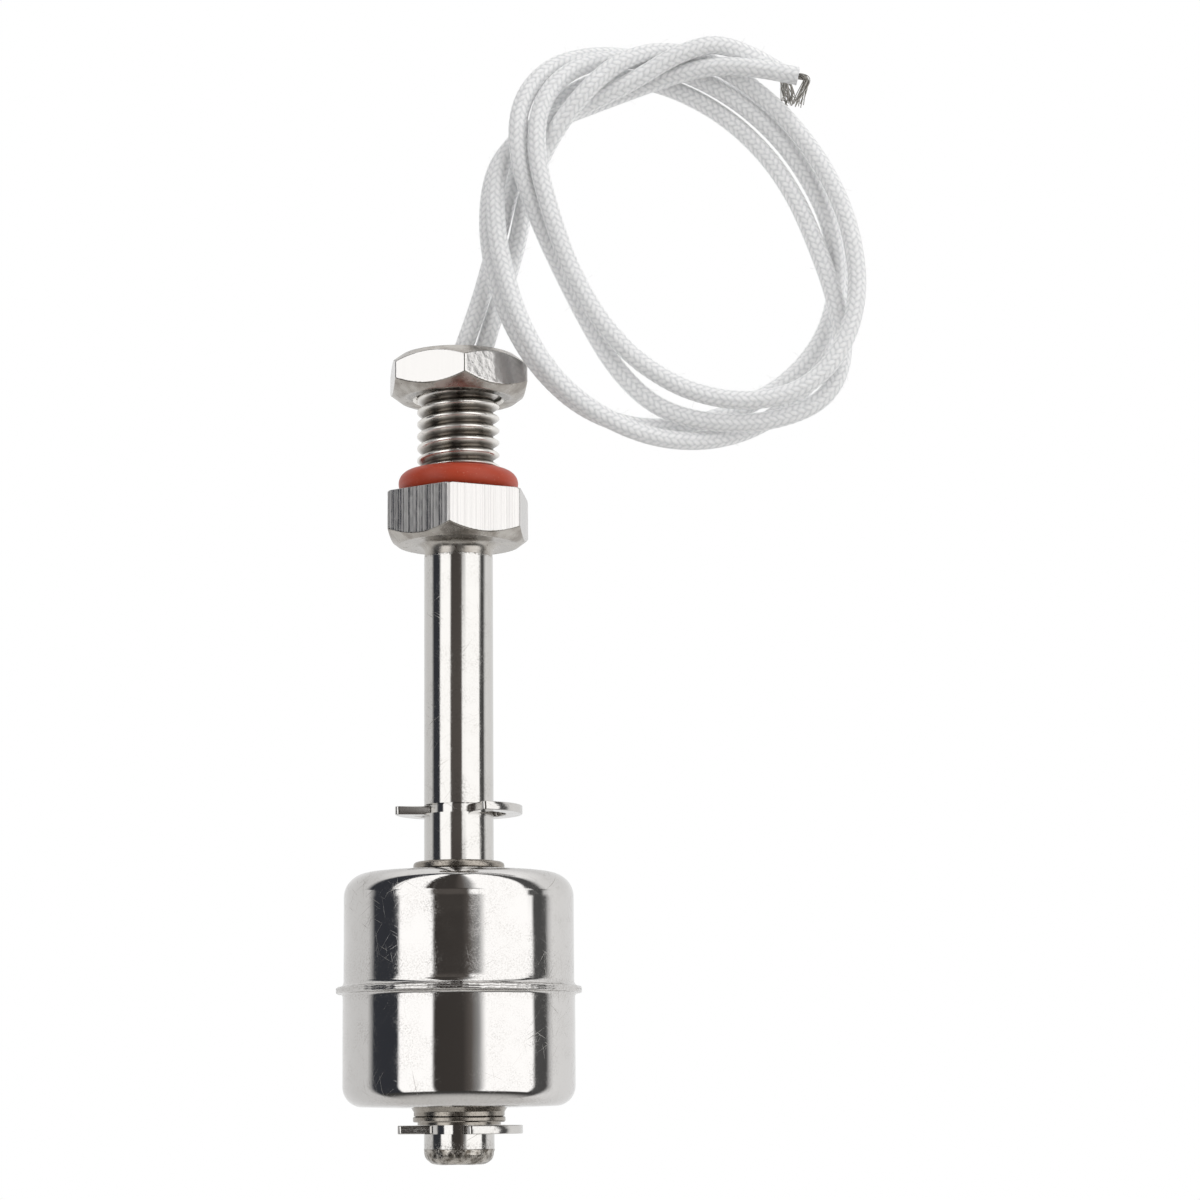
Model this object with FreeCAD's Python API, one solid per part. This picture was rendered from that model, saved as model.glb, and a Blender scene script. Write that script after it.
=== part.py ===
# Vertical float level switch, all sizes in millimetres.
# The origin is the middle of the hexagon flange's upper, sealing face. +Z runs up the
# thread, the stem hangs along -Z, and the viewer stands at -Y.
import FreeCAD, Part
import math
import os

# Stem tube and the plug that closes it
stem_radius = 4.15
stem_wall = 1.5
spigot_wall = 0.6
spigot_top = -1.5
tip_z = -79.95
tip_corner_radius = 1.5
plug_cap_height = 1.8
plug_spigot_height = 1.5

# Threaded fitting, turned from hexagon bar
hex_across_flats = 16.0
hex_height = 6.1
hex_corner_angle = 25.5
hex_chamfer_angle = 37.0
hex_underside_chamfer = 1.9
hex_topside_chamfer = 0.14
thread_radius = 5.0
thread_top = 15.6
thread_end_chamfer = 0.9
thread_relief_depth = 0.8
neck_undercut = 0.05
neck_bottom = -7.6
neck_fillet = 1.1
bore_mouth_chamfer = 0.4

# Jam nut, shown where it was left near the top of the thread
nut_bottom = 11.85
nut_height = 5.2
nut_corner_angle = -82.5
nut_corner_chamfer = 2.1
nut_thread_clearance = 0.05
nut_bore_chamfer = 0.5

# O-ring on the sealing face
o_ring_section_radius = 1.5
o_ring_inside_clearance = 0.05
o_ring_squeeze = 0.05

# Retaining clips in the stem's grooves
clip_thickness = 1.0
groove_depth = 0.7
groove_play = 0.1
clip_pocket_depth = 2.2
clip_opening_angle = 108.0
clip_end_tab_angle = 20.0
clip_back_tab_angle = 44.0
clip_corner_radius = 0.5
upper_clip_bottom = -38.7
upper_clip_radius = 7.6
upper_clip_start_angle = 187.0
lower_clip_bottom = -76.4
lower_clip_radius = 7.5
lower_clip_start_angle = 172.5

# Float, two pressed shells welded at the equator and to a core tube
float_equator = -59.6
float_top = -45.65
float_bottom = -73.35
float_radius = 13.7
shell_step = 0.05
float_wall = 0.6
upper_shoulder = 2.8
lower_shoulder = 2.4
float_face_width = 1.7
float_face_dome = 0.2
lip_width = 0.85
lip_half_thickness = 0.38
lip_edge_radius = 0.28
upper_root_fillet = 0.8
lower_root_fillet = 0.5
stem_to_float_clearance = 0.5
core_wall = 0.4
core_top = -44.4
collar_width = 0.38
collar_height = 0.8
collar_rounding = 0.45
waist_width = 0.06
band_top_width = 0.6
band_foot_width = 0.3
band_height = 0.95
notch_height = 0.12
rim_width = 0.4
rim_height = 0.6
rim_rounding = 0.22
float_rest_gap = 0.05
clip_stop_gap = 0.1

# Ring magnet in the float and reed switch in the stem
magnet_wall = 3.4
magnet_height = 5.0
capsule_share_of_bore = 0.468
capsule_wall = 0.25
capsule_side_gap = 0.05
capsule_length = 14.0
capsule_seal = 1.4
reed_lead_share_of_capsule = 0.27
reed_lead_length = 3.2
reed_blade_share_of_capsule = 0.54
reed_blade_thickness = 0.2
reed_overlap = 1.0
reed_gap = 0.08
splice_wall = 0.35
splice_length = 4.0
inner_lead_share_of_bore = 0.213
return_lead_gap = 0.25
return_bend_radius = 1.3
insulation_wall = 0.35
insulation_above_capsule = 6.7
insulation_below_capsule = 9.8
potting_bottom = 7.5
potting_top = 12.0

# Lead wires in glass-fibre braid, and the bare strands at their ends
wire_radius = 1.1
strand_bundle_radius = 0.45

wire_a_route = [
    (-0.3, -0.5, 12.0), (-0.3, -0.5, 15.6), (1.1, -0.6, 19.4), (2.9, -0.7, 24.6), (4.5, -0.6, 30.6),
    (6.3, -1.4, 37.4), (8.8, -2.6, 43.9), (13.1, -2.9, 49.4), (19.3, -1.9, 52.2), (26.2, -1.0, 51.0),
    (32.5, -1.0, 47.5), (37.5, -1.8, 42.5), (41.1, -2.7, 36.7), (43.6, -3.5, 30.3), (45.8, -4.1, 23.4),
    (47.0, -4.4, 16.3), (44.7, -4.8, 10.6), (38.4, -5.1, 7.8), (30.8, -5.3, 7.5), (24.1, -5.1, 9.4),
    (19.3, -5.0, 14.2), (15.8, -5.2, 20.3), (12.7, -5.9, 26.5), (9.8, -7.0, 32.9), (7.5, -7.8, 39.7),
    (7.6, -7.4, 46.7), (11.0, -5.3, 52.1), (16.7, -2.4, 54.7), (23.3, -0.2, 54.7), (30.1, 0.7, 52.7),
    (36.3, 0.5, 49.3), (41.6, 0.0, 44.7), (45.3, -0.1, 38.8), (47.5, 0.3, 32.1), (47.6, 1.0, 25.1),
    (45.6, 1.3, 18.4), (41.9, 0.5, 12.5), (36.9, -1.4, 8.1), (30.6, -3.5, 5.7), (23.8, -5.4, 5.7),
    (17.2, -6.6, 8.3), (11.8, -7.2, 12.7), (8.2, -7.2, 18.6), (6.0, -6.6, 25.3), (4.7, -5.9, 32.6),
    (4.9, -5.2, 39.6), (8.5, -5.0, 44.5), (14.8, -5.3, 46.8), (21.4, -6.5, 49.7), (27.4, -7.3, 53.3),
    (33.3, -6.2, 55.0), (39.3, -3.2, 52.2)]

wire_b_route = [
    (1.85, 0.5, 12.0), (1.85, 0.5, 15.2), (3.2, 0.6, 18.5), (4.0, 0.7, 21.4), (5.4, 0.6, 25.4),
    (7.1, -0.2, 30.6), (8.5, -3.2, 36.6), (10.9, -6.5, 41.8), (14.9, -8.3, 47.3), (19.9, -7.3, 52.3),
    (26.0, -5.0, 54.4), (32.5, -3.6, 52.7), (38.3, -3.6, 48.2), (42.7, -4.3, 42.8), (46.0, -5.1, 36.7),
    (48.0, -5.9, 30.1), (48.5, -6.5, 22.9), (46.5, -7.0, 16.2), (41.8, -7.2, 11.2), (35.1, -7.3, 9.6),
    (28.0, -7.2, 10.9), (21.9, -7.3, 14.6), (17.3, -7.6, 19.6), (13.9, -8.2, 25.7), (11.6, -8.8, 32.3),
    (9.8, -8.9, 39.3), (10.0, -7.9, 46.3), (13.5, -6.1, 51.5), (19.7, -4.1, 53.8), (26.7, -2.7, 52.8),
    (33.1, -2.3, 49.7), (38.5, -2.4, 45.1), (42.6, -2.5, 39.5), (45.6, -2.2, 33.1), (46.5, -1.7, 26.2),
    (45.0, -1.3, 19.5), (40.8, -1.2, 14.0), (34.9, -1.6, 10.3), (28.2, -2.4, 7.9), (21.4, -3.5, 7.4),
    (15.0, -4.4, 9.7), (9.9, -4.9, 14.5), (6.4, -4.8, 20.5), (4.3, -4.3, 27.2), (3.6, -3.2, 34.4),
    (4.7, -1.4, 41.3), (8.9, 0.0, 46.0), (15.1, -0.8, 48.2), (21.7, -3.2, 49.9), (28.1, -5.5, 51.5),
    (34.7, -6.7, 51.9), (41.6, -6.5, 50.3)]

strands_a_route = [(39.3, -3.2, 52.2), (40.21, -2.75, 51.81), (40.5, -2.8, 50.91), (40.78, -3.1, 47.51)]
strands_b_route = [(41.6, -6.5, 50.3), (42.5, -6.47, 50.09), (42.75, -6.48, 49.29), (40.97, -6.5, 45.91)]

# Sizes that follow from the ones above
hex_corner_radius = hex_across_flats / math.sqrt(3)
chamfer_slope = math.tan(math.radians(hex_chamfer_angle))
stem_bore_radius = stem_radius - stem_wall
fitting_bore_radius = stem_bore_radius + spigot_wall
neck_radius = stem_radius - neck_undercut
relief_radius = thread_radius - thread_relief_depth
relief_top = 2 * o_ring_section_radius - o_ring_squeeze
o_ring_middle_radius = relief_radius + o_ring_inside_clearance + o_ring_section_radius
stem_end = tip_z + plug_cap_height
groove_radius = stem_radius - groove_depth
clip_pocket_radius = groove_radius + clip_pocket_depth
float_upper_radius = float_radius - shell_step
float_lower_radius = float_radius + shell_step
lip_radius = float_radius + lip_width
core_bore_radius = stem_radius + stem_to_float_clearance
core_radius = core_bore_radius + core_wall
core_bottom = lower_clip_bottom + clip_thickness + float_rest_gap
float_face_radius = core_radius + float_face_width
magnet_radius = core_radius + magnet_wall
float_travel = upper_clip_bottom - core_top - clip_stop_gap
capsule_middle = float_equator + float_travel
insulation_bore_radius = stem_bore_radius - insulation_wall
insulation_top = capsule_middle + capsule_length / 2 + insulation_above_capsule
insulation_bottom = capsule_middle - capsule_length / 2 - insulation_below_capsule
capsule_radius = insulation_bore_radius * capsule_share_of_bore
inner_lead_radius = insulation_bore_radius * inner_lead_share_of_bore
reed_lead_radius = capsule_radius * reed_lead_share_of_capsule
reed_blade_width = 2 * capsule_radius * reed_blade_share_of_capsule
capsule_x = -(insulation_bore_radius - capsule_radius - capsule_side_gap)
return_lead_x = insulation_bore_radius - inner_lead_radius - return_lead_gap

axis_foot = FreeCAD.Vector(0, 0, 0)
up = FreeCAD.Vector(0, 0, 1)


# The arc of one radius that rounds a corner: its start, middle and end
def corner_arc(before, point, after, radius):
    back = FreeCAD.Vector(before - point).normalize()
    ahead = FreeCAD.Vector(after - point).normalize()
    half_turn = (math.pi - back.getAngle(ahead)) / 2
    reach = radius * math.tan(half_turn)
    inward = FreeCAD.Vector(back + ahead).normalize()
    depth = radius / math.cos(half_turn) - radius
    return point + back * reach, point + inward * depth, point + ahead * reach


# Straight runs between points, with each corner that has a radius rounded by a tangent arc
def rounded_wire(points, radii, closed):
    count = len(points)
    corners = []
    for i in range(count):
        if radii[i] > 0:
            arc = corner_arc(points[i - 1], points[i], points[(i + 1) % count], radii[i])
        else:
            arc = (points[i], None, points[i])
        corners.append(arc)
    edges = []
    for i in range(count):
        start, middle, end = corners[i]
        if middle is not None:
            edges.append(Part.Arc(start, middle, end).toShape())
        if closed or i < count - 1:
            following = corners[(i + 1) % count][0]
            if (following - end).Length > 1e-6:
                edges.append(Part.LineSegment(end, following).toShape())
    return Part.Wire(edges)


# A piece turned about Z from a closed profile of (radius, height, corner rounding)
def turned(profile):
    points = [FreeCAD.Vector(r, 0, z) for r, z, rounding in profile]
    wire = rounded_wire(points, [rounding for r, z, rounding in profile], True)
    return Part.Face(wire).revolve(axis_foot, up, 360)


def cylinder(radius, bottom, top, x=0.0, y=0.0):
    return Part.makeCylinder(radius, top - bottom, FreeCAD.Vector(x, y, bottom), up)


# A pie slice about Z from one plan angle on through another
def sector(radius, bottom, height, start_angle, angle):
    slice_solid = Part.makeCylinder(radius, height, FreeCAD.Vector(0, 0, bottom), up, angle)
    slice_solid.rotate(axis_foot, up, start_angle)
    return slice_solid


def hexagon(corner_angle, bottom, height):
    corners = []
    for k in range(7):
        angle = math.radians(corner_angle + 60 * k)
        x = hex_corner_radius * math.cos(angle)
        y = hex_corner_radius * math.sin(angle)
        corners.append(FreeCAD.Vector(x, y, bottom))
    return Part.Face(Part.makePolygon(corners)).extrude(up * height)


# A hexagon whose corners are turned away to a cone on both sides
def chamfered_hexagon(corner_angle, bottom, height, lower_chamfer, upper_chamfer):
    reach = 1.1 * hex_corner_radius
    top = bottom + height
    lower_circle = hex_corner_radius - lower_chamfer
    upper_circle = hex_corner_radius - upper_chamfer
    envelope = turned([
        (0, bottom, 0),
        (lower_circle, bottom, 0),
        (reach, bottom + (reach - lower_circle) * chamfer_slope, 0),
        (reach, top - (reach - upper_circle) * chamfer_slope, 0),
        (upper_circle, top, 0),
        (0, top, 0)])
    return hexagon(corner_angle, bottom, height).common(envelope)


def threaded_fitting():
    flange = chamfered_hexagon(hex_corner_angle, -hex_height, hex_height,
                                hex_underside_chamfer, hex_topside_chamfer)
    inside = fitting_bore_radius / 2
    under_flange = hex_across_flats / 2 - hex_underside_chamfer
    shank = turned([
        (inside, neck_bottom, 0),
        (neck_radius, neck_bottom, 0),
        (neck_radius, -hex_height, neck_fillet),
        (under_flange, -hex_height, 0),
        (under_flange, 0, 0),
        (relief_radius, 0, thread_relief_depth / 2),
        (relief_radius, relief_top - thread_relief_depth, 0),
        (thread_radius, relief_top, 0),
        (thread_radius, thread_top - thread_end_chamfer, 0),
        (thread_radius - thread_end_chamfer, thread_top, 0),
        (inside, thread_top, 0)])
    bore = turned([
        (0, neck_bottom, 0),
        (fitting_bore_radius, neck_bottom, 0),
        (fitting_bore_radius, thread_top - bore_mouth_chamfer, 0),
        (fitting_bore_radius + bore_mouth_chamfer * 2, thread_top + bore_mouth_chamfer, 0),
        (0, thread_top + bore_mouth_chamfer, 0)])
    return flange.fuse(shank).cut(bore).removeSplitter()


def jam_nut():
    bore_radius = thread_radius + nut_thread_clearance
    mouth_radius = bore_radius + nut_bore_chamfer
    top = nut_bottom + nut_height
    blank = chamfered_hexagon(nut_corner_angle, nut_bottom, nut_height,
                              nut_corner_chamfer, nut_corner_chamfer)
    bore = turned([
        (0, nut_bottom, 0),
        (mouth_radius, nut_bottom, 0),
        (bore_radius, nut_bottom + nut_bore_chamfer, 0),
        (bore_radius, top - nut_bore_chamfer, 0),
        (mouth_radius, top, 0),
        (0, top, 0)])
    return blank.cut(bore).removeSplitter()


# The ring is pressed very slightly flat where it lies on the flange
def o_ring():
    middle = FreeCAD.Vector(0, 0, o_ring_section_radius - o_ring_squeeze)
    ring = Part.makeTorus(o_ring_middle_radius, o_ring_section_radius, middle, up)
    flange_side = cylinder(2 * o_ring_middle_radius, -o_ring_section_radius, 0)
    return ring.cut(flange_side)


# A spigot above fits the fitting's bore, and two grooves take the clips
def stem_tube():
    profile = [
        (stem_bore_radius, spigot_top, 0),
        (fitting_bore_radius, spigot_top, 0),
        (fitting_bore_radius, neck_bottom, 0),
        (stem_radius, neck_bottom, 0)]
    for clip_bottom in (upper_clip_bottom, lower_clip_bottom):
        groove_top = clip_bottom + clip_thickness + groove_play
        profile.append((stem_radius, groove_top, 0))
        profile.append((groove_radius, groove_top, 0))
        profile.append((groove_radius, clip_bottom, 0))
        profile.append((stem_radius, clip_bottom, 0))
    profile.append((stem_radius, stem_end, 0))
    profile.append((stem_bore_radius, stem_end, 0))
    return turned(profile)


def end_plug():
    return turned([
        (0, stem_end + plug_spigot_height, 0),
        (stem_bore_radius, stem_end + plug_spigot_height, 0),
        (stem_bore_radius, stem_end, 0),
        (stem_radius, stem_end, 0),
        (stem_radius, tip_z, tip_corner_radius),
        (0, tip_z, 0)])


# A flat spring ring whose three tabs grip the groove, with pockets between them
def retaining_clip(outer_radius, bottom, opening_angle):
    body_start = opening_angle + clip_opening_angle
    body_angle = 360 - clip_opening_angle
    band = cylinder(outer_radius, bottom, bottom + clip_thickness)
    band = band.cut(cylinder(clip_pocket_radius, bottom, bottom + clip_thickness))
    tabs = [
        (body_start, clip_end_tab_angle),
        (body_start + (body_angle - clip_back_tab_angle) / 2, clip_back_tab_angle),
        (body_start + body_angle - clip_end_tab_angle, clip_end_tab_angle)]
    for start, angle in tabs:
        band = band.fuse(sector((clip_pocket_radius + outer_radius) / 2, bottom, clip_thickness, start, angle))
    band = band.cut(cylinder(groove_radius, bottom, bottom + clip_thickness))
    band = band.cut(sector(1.2 * outer_radius, bottom, clip_thickness, opening_angle, clip_opening_angle))
    band = band.removeSplitter()
    arm_corners = []
    for edge in band.Edges:
        ends = [vertex.Point for vertex in edge.Vertexes]
        if len(ends) < 2 or abs(ends[0].z - ends[1].z) < clip_thickness / 2:
            continue
        if abs(math.hypot(ends[0].x, ends[0].y) - outer_radius) < 0.01:
            arm_corners.append(edge)
    return band.makeFillet(clip_corner_radius, arm_corners)


# One pressed half of the float, from its flat face round the shoulder to its half of the lip
def float_shell(radius, face, side, shoulder, root_fillet):
    wall = float_wall * side
    shoulder_face = face - float_face_dome * side
    lip_face = float_equator + lip_half_thickness * side
    inner_radius = radius - float_wall
    inner_shoulder = shoulder - float_wall
    return turned([
        (core_radius, face, 0),
        (float_face_radius, face, 0),
        (radius, shoulder_face, shoulder),
        (radius, lip_face, root_fillet),
        (lip_radius, lip_face, lip_edge_radius),
        (lip_radius, float_equator, 0),
        (inner_radius, float_equator, 0),
        (inner_radius, shoulder_face - wall, inner_shoulder),
        (float_face_radius, face - wall, 0),
        (core_radius, face - wall, 0)])


# Above the float the core tube has a waist and a domed collar, below it a flared band,
# a narrow notch and a rolled rim. The tube slides on the stem.
def float_core_tube():
    waist_radius = core_radius + waist_width
    collar_radius = core_radius + collar_width
    collar_foot = core_top - collar_height
    band_foot = float_bottom - band_height
    rim_top = band_foot - notch_height
    rim_foot = rim_top - rim_height
    rim_radius = core_radius + rim_width
    lip_end_radius = core_radius - core_wall / 3
    return turned([
        (core_bore_radius, core_top, 0),
        (collar_radius, core_top, collar_rounding),
        (collar_radius, collar_foot, collar_rounding / 4),
        (waist_radius, collar_foot - collar_rounding / 4, 0),
        (waist_radius, float_top, 0),
        (core_radius, float_top, 0),
        (core_radius, float_bottom, 0),
        (core_radius + band_top_width, float_bottom, 0),
        (core_radius + band_foot_width, float_bottom - band_height / 2, band_height / 4),
        (core_radius + band_foot_width, band_foot, 0),
        (waist_radius, band_foot - notch_height / 2, 0),
        (rim_radius, rim_top, notch_height),
        (rim_radius, rim_foot, rim_rounding),
        (lip_end_radius, rim_foot, 0),
        (lip_end_radius, core_bottom, 0),
        (core_bore_radius, core_bottom, 0)])


def magnet_ring():
    bottom = float_equator - magnet_height / 2
    top = float_equator + magnet_height / 2
    return cylinder(magnet_radius, bottom, top).cut(cylinder(core_radius, bottom, top))


# A glass capsule sealed round a reed lead at each end
def reed_glass():
    bottom = capsule_middle - capsule_length / 2
    top = capsule_middle + capsule_length / 2
    bore_radius = capsule_radius - capsule_wall
    glass = turned([
        (reed_lead_radius, bottom, 0),
        (capsule_radius, bottom, capsule_radius / 2),
        (capsule_radius, top, capsule_radius / 2),
        (reed_lead_radius, top, 0),
        (reed_lead_radius, top - capsule_seal, 0),
        (bore_radius, top - capsule_seal, capsule_wall / 2),
        (bore_radius, bottom + capsule_seal, capsule_wall / 2),
        (reed_lead_radius, bottom + capsule_seal, 0)])
    glass.translate(FreeCAD.Vector(capsule_x, 0, 0))
    return glass


# A round lead pressed flat inside the capsule; the two blades lap past each other
def reed(side):
    outer_end = capsule_middle + (capsule_length / 2 + reed_lead_length) * side
    seal_end = capsule_middle + (capsule_length / 2 - capsule_seal) * side
    blade_end = capsule_middle - reed_overlap / 2 * side
    lead = cylinder(reed_lead_radius, min(outer_end, seal_end), max(outer_end, seal_end), capsule_x)
    offset = (reed_gap + reed_blade_thickness) / 2 * side
    corner = FreeCAD.Vector(
        capsule_x - reed_blade_width / 2, offset - reed_blade_thickness / 2, min(seal_end, blade_end))
    blade = Part.makeBox(reed_blade_width, reed_blade_thickness, abs(seal_end - blade_end), corner)
    return lead.fuse(blade)


# A crimped sleeve with the inner lead in one end and the reed's lead in the other
def splice_sleeve(side):
    middle = capsule_middle + (capsule_length / 2 + reed_lead_length) * side
    half = splice_length / 2
    sleeve = cylinder(inner_lead_radius + splice_wall, middle - half, middle + half, capsule_x)
    lead_end = middle + half * side
    reed_end = middle - half * side
    sleeve = sleeve.cut(cylinder(inner_lead_radius, min(middle, lead_end), max(middle, lead_end), capsule_x))
    return sleeve.cut(cylinder(reed_lead_radius, min(middle, reed_end), max(middle, reed_end), capsule_x))


def swept_tube(route, radii, radius):
    points = [FreeCAD.Vector(*point) for point in route]
    path = rounded_wire(points, radii, False)
    section = Part.Wire([Part.makeCircle(radius, points[0], points[1] - points[0])])
    return path, path.makePipeShell([section], True, False)


def inner_lead_a():
    bottom = capsule_middle + capsule_length / 2 + reed_lead_length
    return cylinder(inner_lead_radius, bottom, potting_bottom, capsule_x)


# The return lead passes the capsule and turns back up into the lower splice
def inner_lead_b():
    splice_middle = capsule_middle - capsule_length / 2 - reed_lead_length
    turn_back = splice_middle - splice_length / 2 - return_bend_radius
    route = [
        (return_lead_x, 0, potting_bottom),
        (return_lead_x, 0, turn_back),
        (capsule_x, 0, turn_back),
        (capsule_x, 0, splice_middle)]
    path, lead = swept_tube(route, [0, return_bend_radius, return_bend_radius, 0], inner_lead_radius)
    return lead


def insulating_tube():
    tube = cylinder(stem_bore_radius, insulation_bottom, insulation_top)
    return tube.cut(cylinder(insulation_bore_radius, insulation_bottom, insulation_top))


# Each bend of a wire takes the largest arc that leaves a tenth of its shorter run straight
def wire_radii(route):
    points = [FreeCAD.Vector(*point) for point in route]
    radii = [0]
    for i in range(1, len(points) - 1):
        before = points[i] - points[i - 1]
        after = points[i + 1] - points[i]
        half_turn = before.getAngle(after) / 2
        radii.append(0.45 * min(before.Length, after.Length) / math.tan(half_turn))
    radii.append(0)
    return radii


def free_wire(name, route, radius):
    radii = wire_radii(route)
    path, tube = swept_tube(route, radii, radius)
    expected = math.pi * radius ** 2 * path.Length
    print(name, "length", round(path.Length, 1), "smallest bend", round(min(radii[1:-1]), 2),
          "volume over section x length", round(tube.Volume / expected, 4))
    return tube


parts = {
    "threaded_fitting": threaded_fitting(),
    "jam_nut": jam_nut(),
    "o_ring": o_ring(),
    "stem_tube": stem_tube(),
    "end_plug": end_plug(),
    "upper_clip": retaining_clip(upper_clip_radius, upper_clip_bottom, upper_clip_start_angle),
    "lower_clip": retaining_clip(lower_clip_radius, lower_clip_bottom, lower_clip_start_angle),
    "float_upper_shell": float_shell(float_upper_radius, float_top, 1, upper_shoulder, upper_root_fillet),
    "float_lower_shell": float_shell(float_lower_radius, float_bottom, -1, lower_shoulder, lower_root_fillet),
    "float_core_tube": float_core_tube(),
    "magnet_ring": magnet_ring(),
    "reed_glass": reed_glass(),
    "upper_reed": reed(1),
    "lower_reed": reed(-1),
    "upper_splice": splice_sleeve(1),
    "lower_splice": splice_sleeve(-1),
    "inner_lead_a": inner_lead_a(),
    "inner_lead_b": inner_lead_b(),
    "insulating_tube": insulating_tube(),
    "potting_plug": cylinder(fitting_bore_radius, potting_bottom, potting_top),
    "lead_wire_a": free_wire("lead_wire_a", wire_a_route, wire_radius),
    "lead_wire_b": free_wire("lead_wire_b", wire_b_route, wire_radius),
    "bare_strands_a": free_wire("bare_strands_a", strands_a_route, strand_bundle_radius),
    "bare_strands_b": free_wire("bare_strands_b", strands_b_route, strand_bundle_radius),
}

os.makedirs("parts", exist_ok=True)
for name, shape in parts.items():
    shape.exportStep("parts/" + name + ".step")
    print(name, "valid", shape.isValid(), "solids", len(shape.Solids), "volume", round(shape.Volume, 2))
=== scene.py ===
import math
import random

import bmesh
import bpy
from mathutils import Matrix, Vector, noise


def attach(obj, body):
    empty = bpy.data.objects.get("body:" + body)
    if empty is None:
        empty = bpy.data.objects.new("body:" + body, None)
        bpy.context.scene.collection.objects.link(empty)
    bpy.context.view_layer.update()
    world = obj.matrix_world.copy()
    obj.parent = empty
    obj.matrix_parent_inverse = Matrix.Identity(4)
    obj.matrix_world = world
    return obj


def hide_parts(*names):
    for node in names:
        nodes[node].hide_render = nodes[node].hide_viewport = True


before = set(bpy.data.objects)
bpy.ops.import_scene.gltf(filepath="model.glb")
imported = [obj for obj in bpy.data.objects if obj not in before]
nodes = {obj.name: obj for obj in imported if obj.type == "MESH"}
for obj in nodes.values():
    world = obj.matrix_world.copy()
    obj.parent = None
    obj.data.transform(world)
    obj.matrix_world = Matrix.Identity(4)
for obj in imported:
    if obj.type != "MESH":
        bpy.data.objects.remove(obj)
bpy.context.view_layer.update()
# the scene is in metres; sizes are typed in millimetres and multiplied by this
mm = 0.001
print("frame loaded,", len(nodes), "nodes")


def hexColour(code):
    channels = [int(code[i:i + 2], 16) / 255 for i in (1, 3, 5)]
    linear = [c / 12.92 if c <= 0.04045 else ((c + 0.055) / 1.055) ** 2.4 for c in channels]
    return (*linear, 1.0)


# adds a node; an input that is given a socket or a node gets linked, a node by its first output,
# and anything else is set
def addNode(tree, kind, settings=None, inputs=None):
    node = tree.nodes.new(kind)
    for name, value in (settings or {}).items():
        setattr(node, name, value)
    for name, value in (inputs or {}).items():
        if isinstance(value, bpy.types.Node):
            value = value.outputs[0]
        if isinstance(value, bpy.types.NodeSocket):
            tree.links.new(value, node.inputs[name])
        else:
            node.inputs[name].default_value = value
    return node


def newMaterial(name):
    material = bpy.data.materials.new(name)
    material.use_nodes = True
    material.node_tree.nodes.clear()
    return material, material.node_tree


def finishMaterial(tree, sockets):
    surface = addNode(tree, "ShaderNodeBsdfPrincipled", None, sockets)
    addNode(tree, "ShaderNodeOutputMaterial", None, {"Surface": surface})


def addPiece(name, mesh, body, materials=(), replaced=()):
    obj = bpy.data.objects.new(name, mesh)
    bpy.context.scene.collection.objects.link(obj)
    for material in materials:
        mesh.materials.append(material)
    mesh.shade_smooth()
    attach(obj, body)
    if replaced:
        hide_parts(*replaced)
    return obj


def meshFrom(bm, name):
    bmesh.ops.recalc_face_normals(bm, faces=bm.faces)
    mesh = bpy.data.meshes.new(name)
    bm.to_mesh(mesh)
    bm.free()
    return mesh


# skins a stack of rings; a closed stack comes back to its first ring, an open one gets flat ends
def skinRings(bm, rings, closed=True, finishOf=None):
    loops = [[bm.verts.new(Vector(point) * mm) for point in ring] for ring in rings]
    count = len(loops[0])
    for i in range(len(loops) if closed else len(loops) - 1):
        lower, upper = loops[i], loops[(i + 1) % len(loops)]
        for k in range(count):
            n = (k + 1) % count
            face = bm.faces.new((lower[k], lower[n], upper[n], upper[k]))
            if finishOf:
                face.material_index = finishOf(i, k)
    if not closed:
        bm.faces.new(loops[0])
        bm.faces.new(loops[-1])


# corner points (radius, height, rounding) to a line with arcs, in mm
def roundedLine(corners, arcSteps=8):
    line = []
    for i, (r, z, rounding) in enumerate(corners):
        here = Vector((r, z))
        if rounding <= 0:
            line.append(here)
            continue
        back = (Vector(corners[i - 1][:2]) - here).normalized()
        ahead = (Vector(corners[i + 1][:2]) - here).normalized()
        half = (math.pi - back.angle(ahead)) / 2
        centre = here + (back + ahead).normalized() * (rounding / math.cos(half))
        start = here + back * rounding * math.tan(half) - centre
        end = here + ahead * rounding * math.tan(half) - centre
        first = math.atan2(start.y, start.x)
        sweep = (math.atan2(end.y, end.x) - first + math.pi) % (2 * math.pi) - math.pi
        for k in range(arcSteps + 1):
            angle = first + sweep * k / arcSteps
            line.append(centre + Vector((math.cos(angle), math.sin(angle))) * rounding)
    return line


def finerLine(line, longest):
    finer = []
    for point, following in zip(line, line[1:]):
        pieces = max(1, math.ceil((following - point).length / longest))
        finer += [point.lerp(following, k / pieces) for k in range(pieces)]
    return finer + [line[-1]]


# turns a line about Z; shape(angle, r, z) may push each point
def turnedRings(line, segments, shape):
    rings = []
    for point in line:
        ring = []
        for k in range(segments):
            angle = 2 * math.pi * k / segments
            r, z = shape(angle, point.x, point.y)
            ring.append((r * math.cos(angle), r * math.sin(angle), z))
        rings.append(ring)
    return rings


def plainRing(radius, z, segments):
    turns = [2 * math.pi * k / segments for k in range(segments)]
    return [(radius * math.cos(turn), radius * math.sin(turn), z) for turn in turns]


def evaluatedMesh(obj):
    bpy.context.view_layer.update()
    return bpy.data.meshes.new_from_object(obj.evaluated_get(bpy.context.evaluated_depsgraph_get()))


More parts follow.
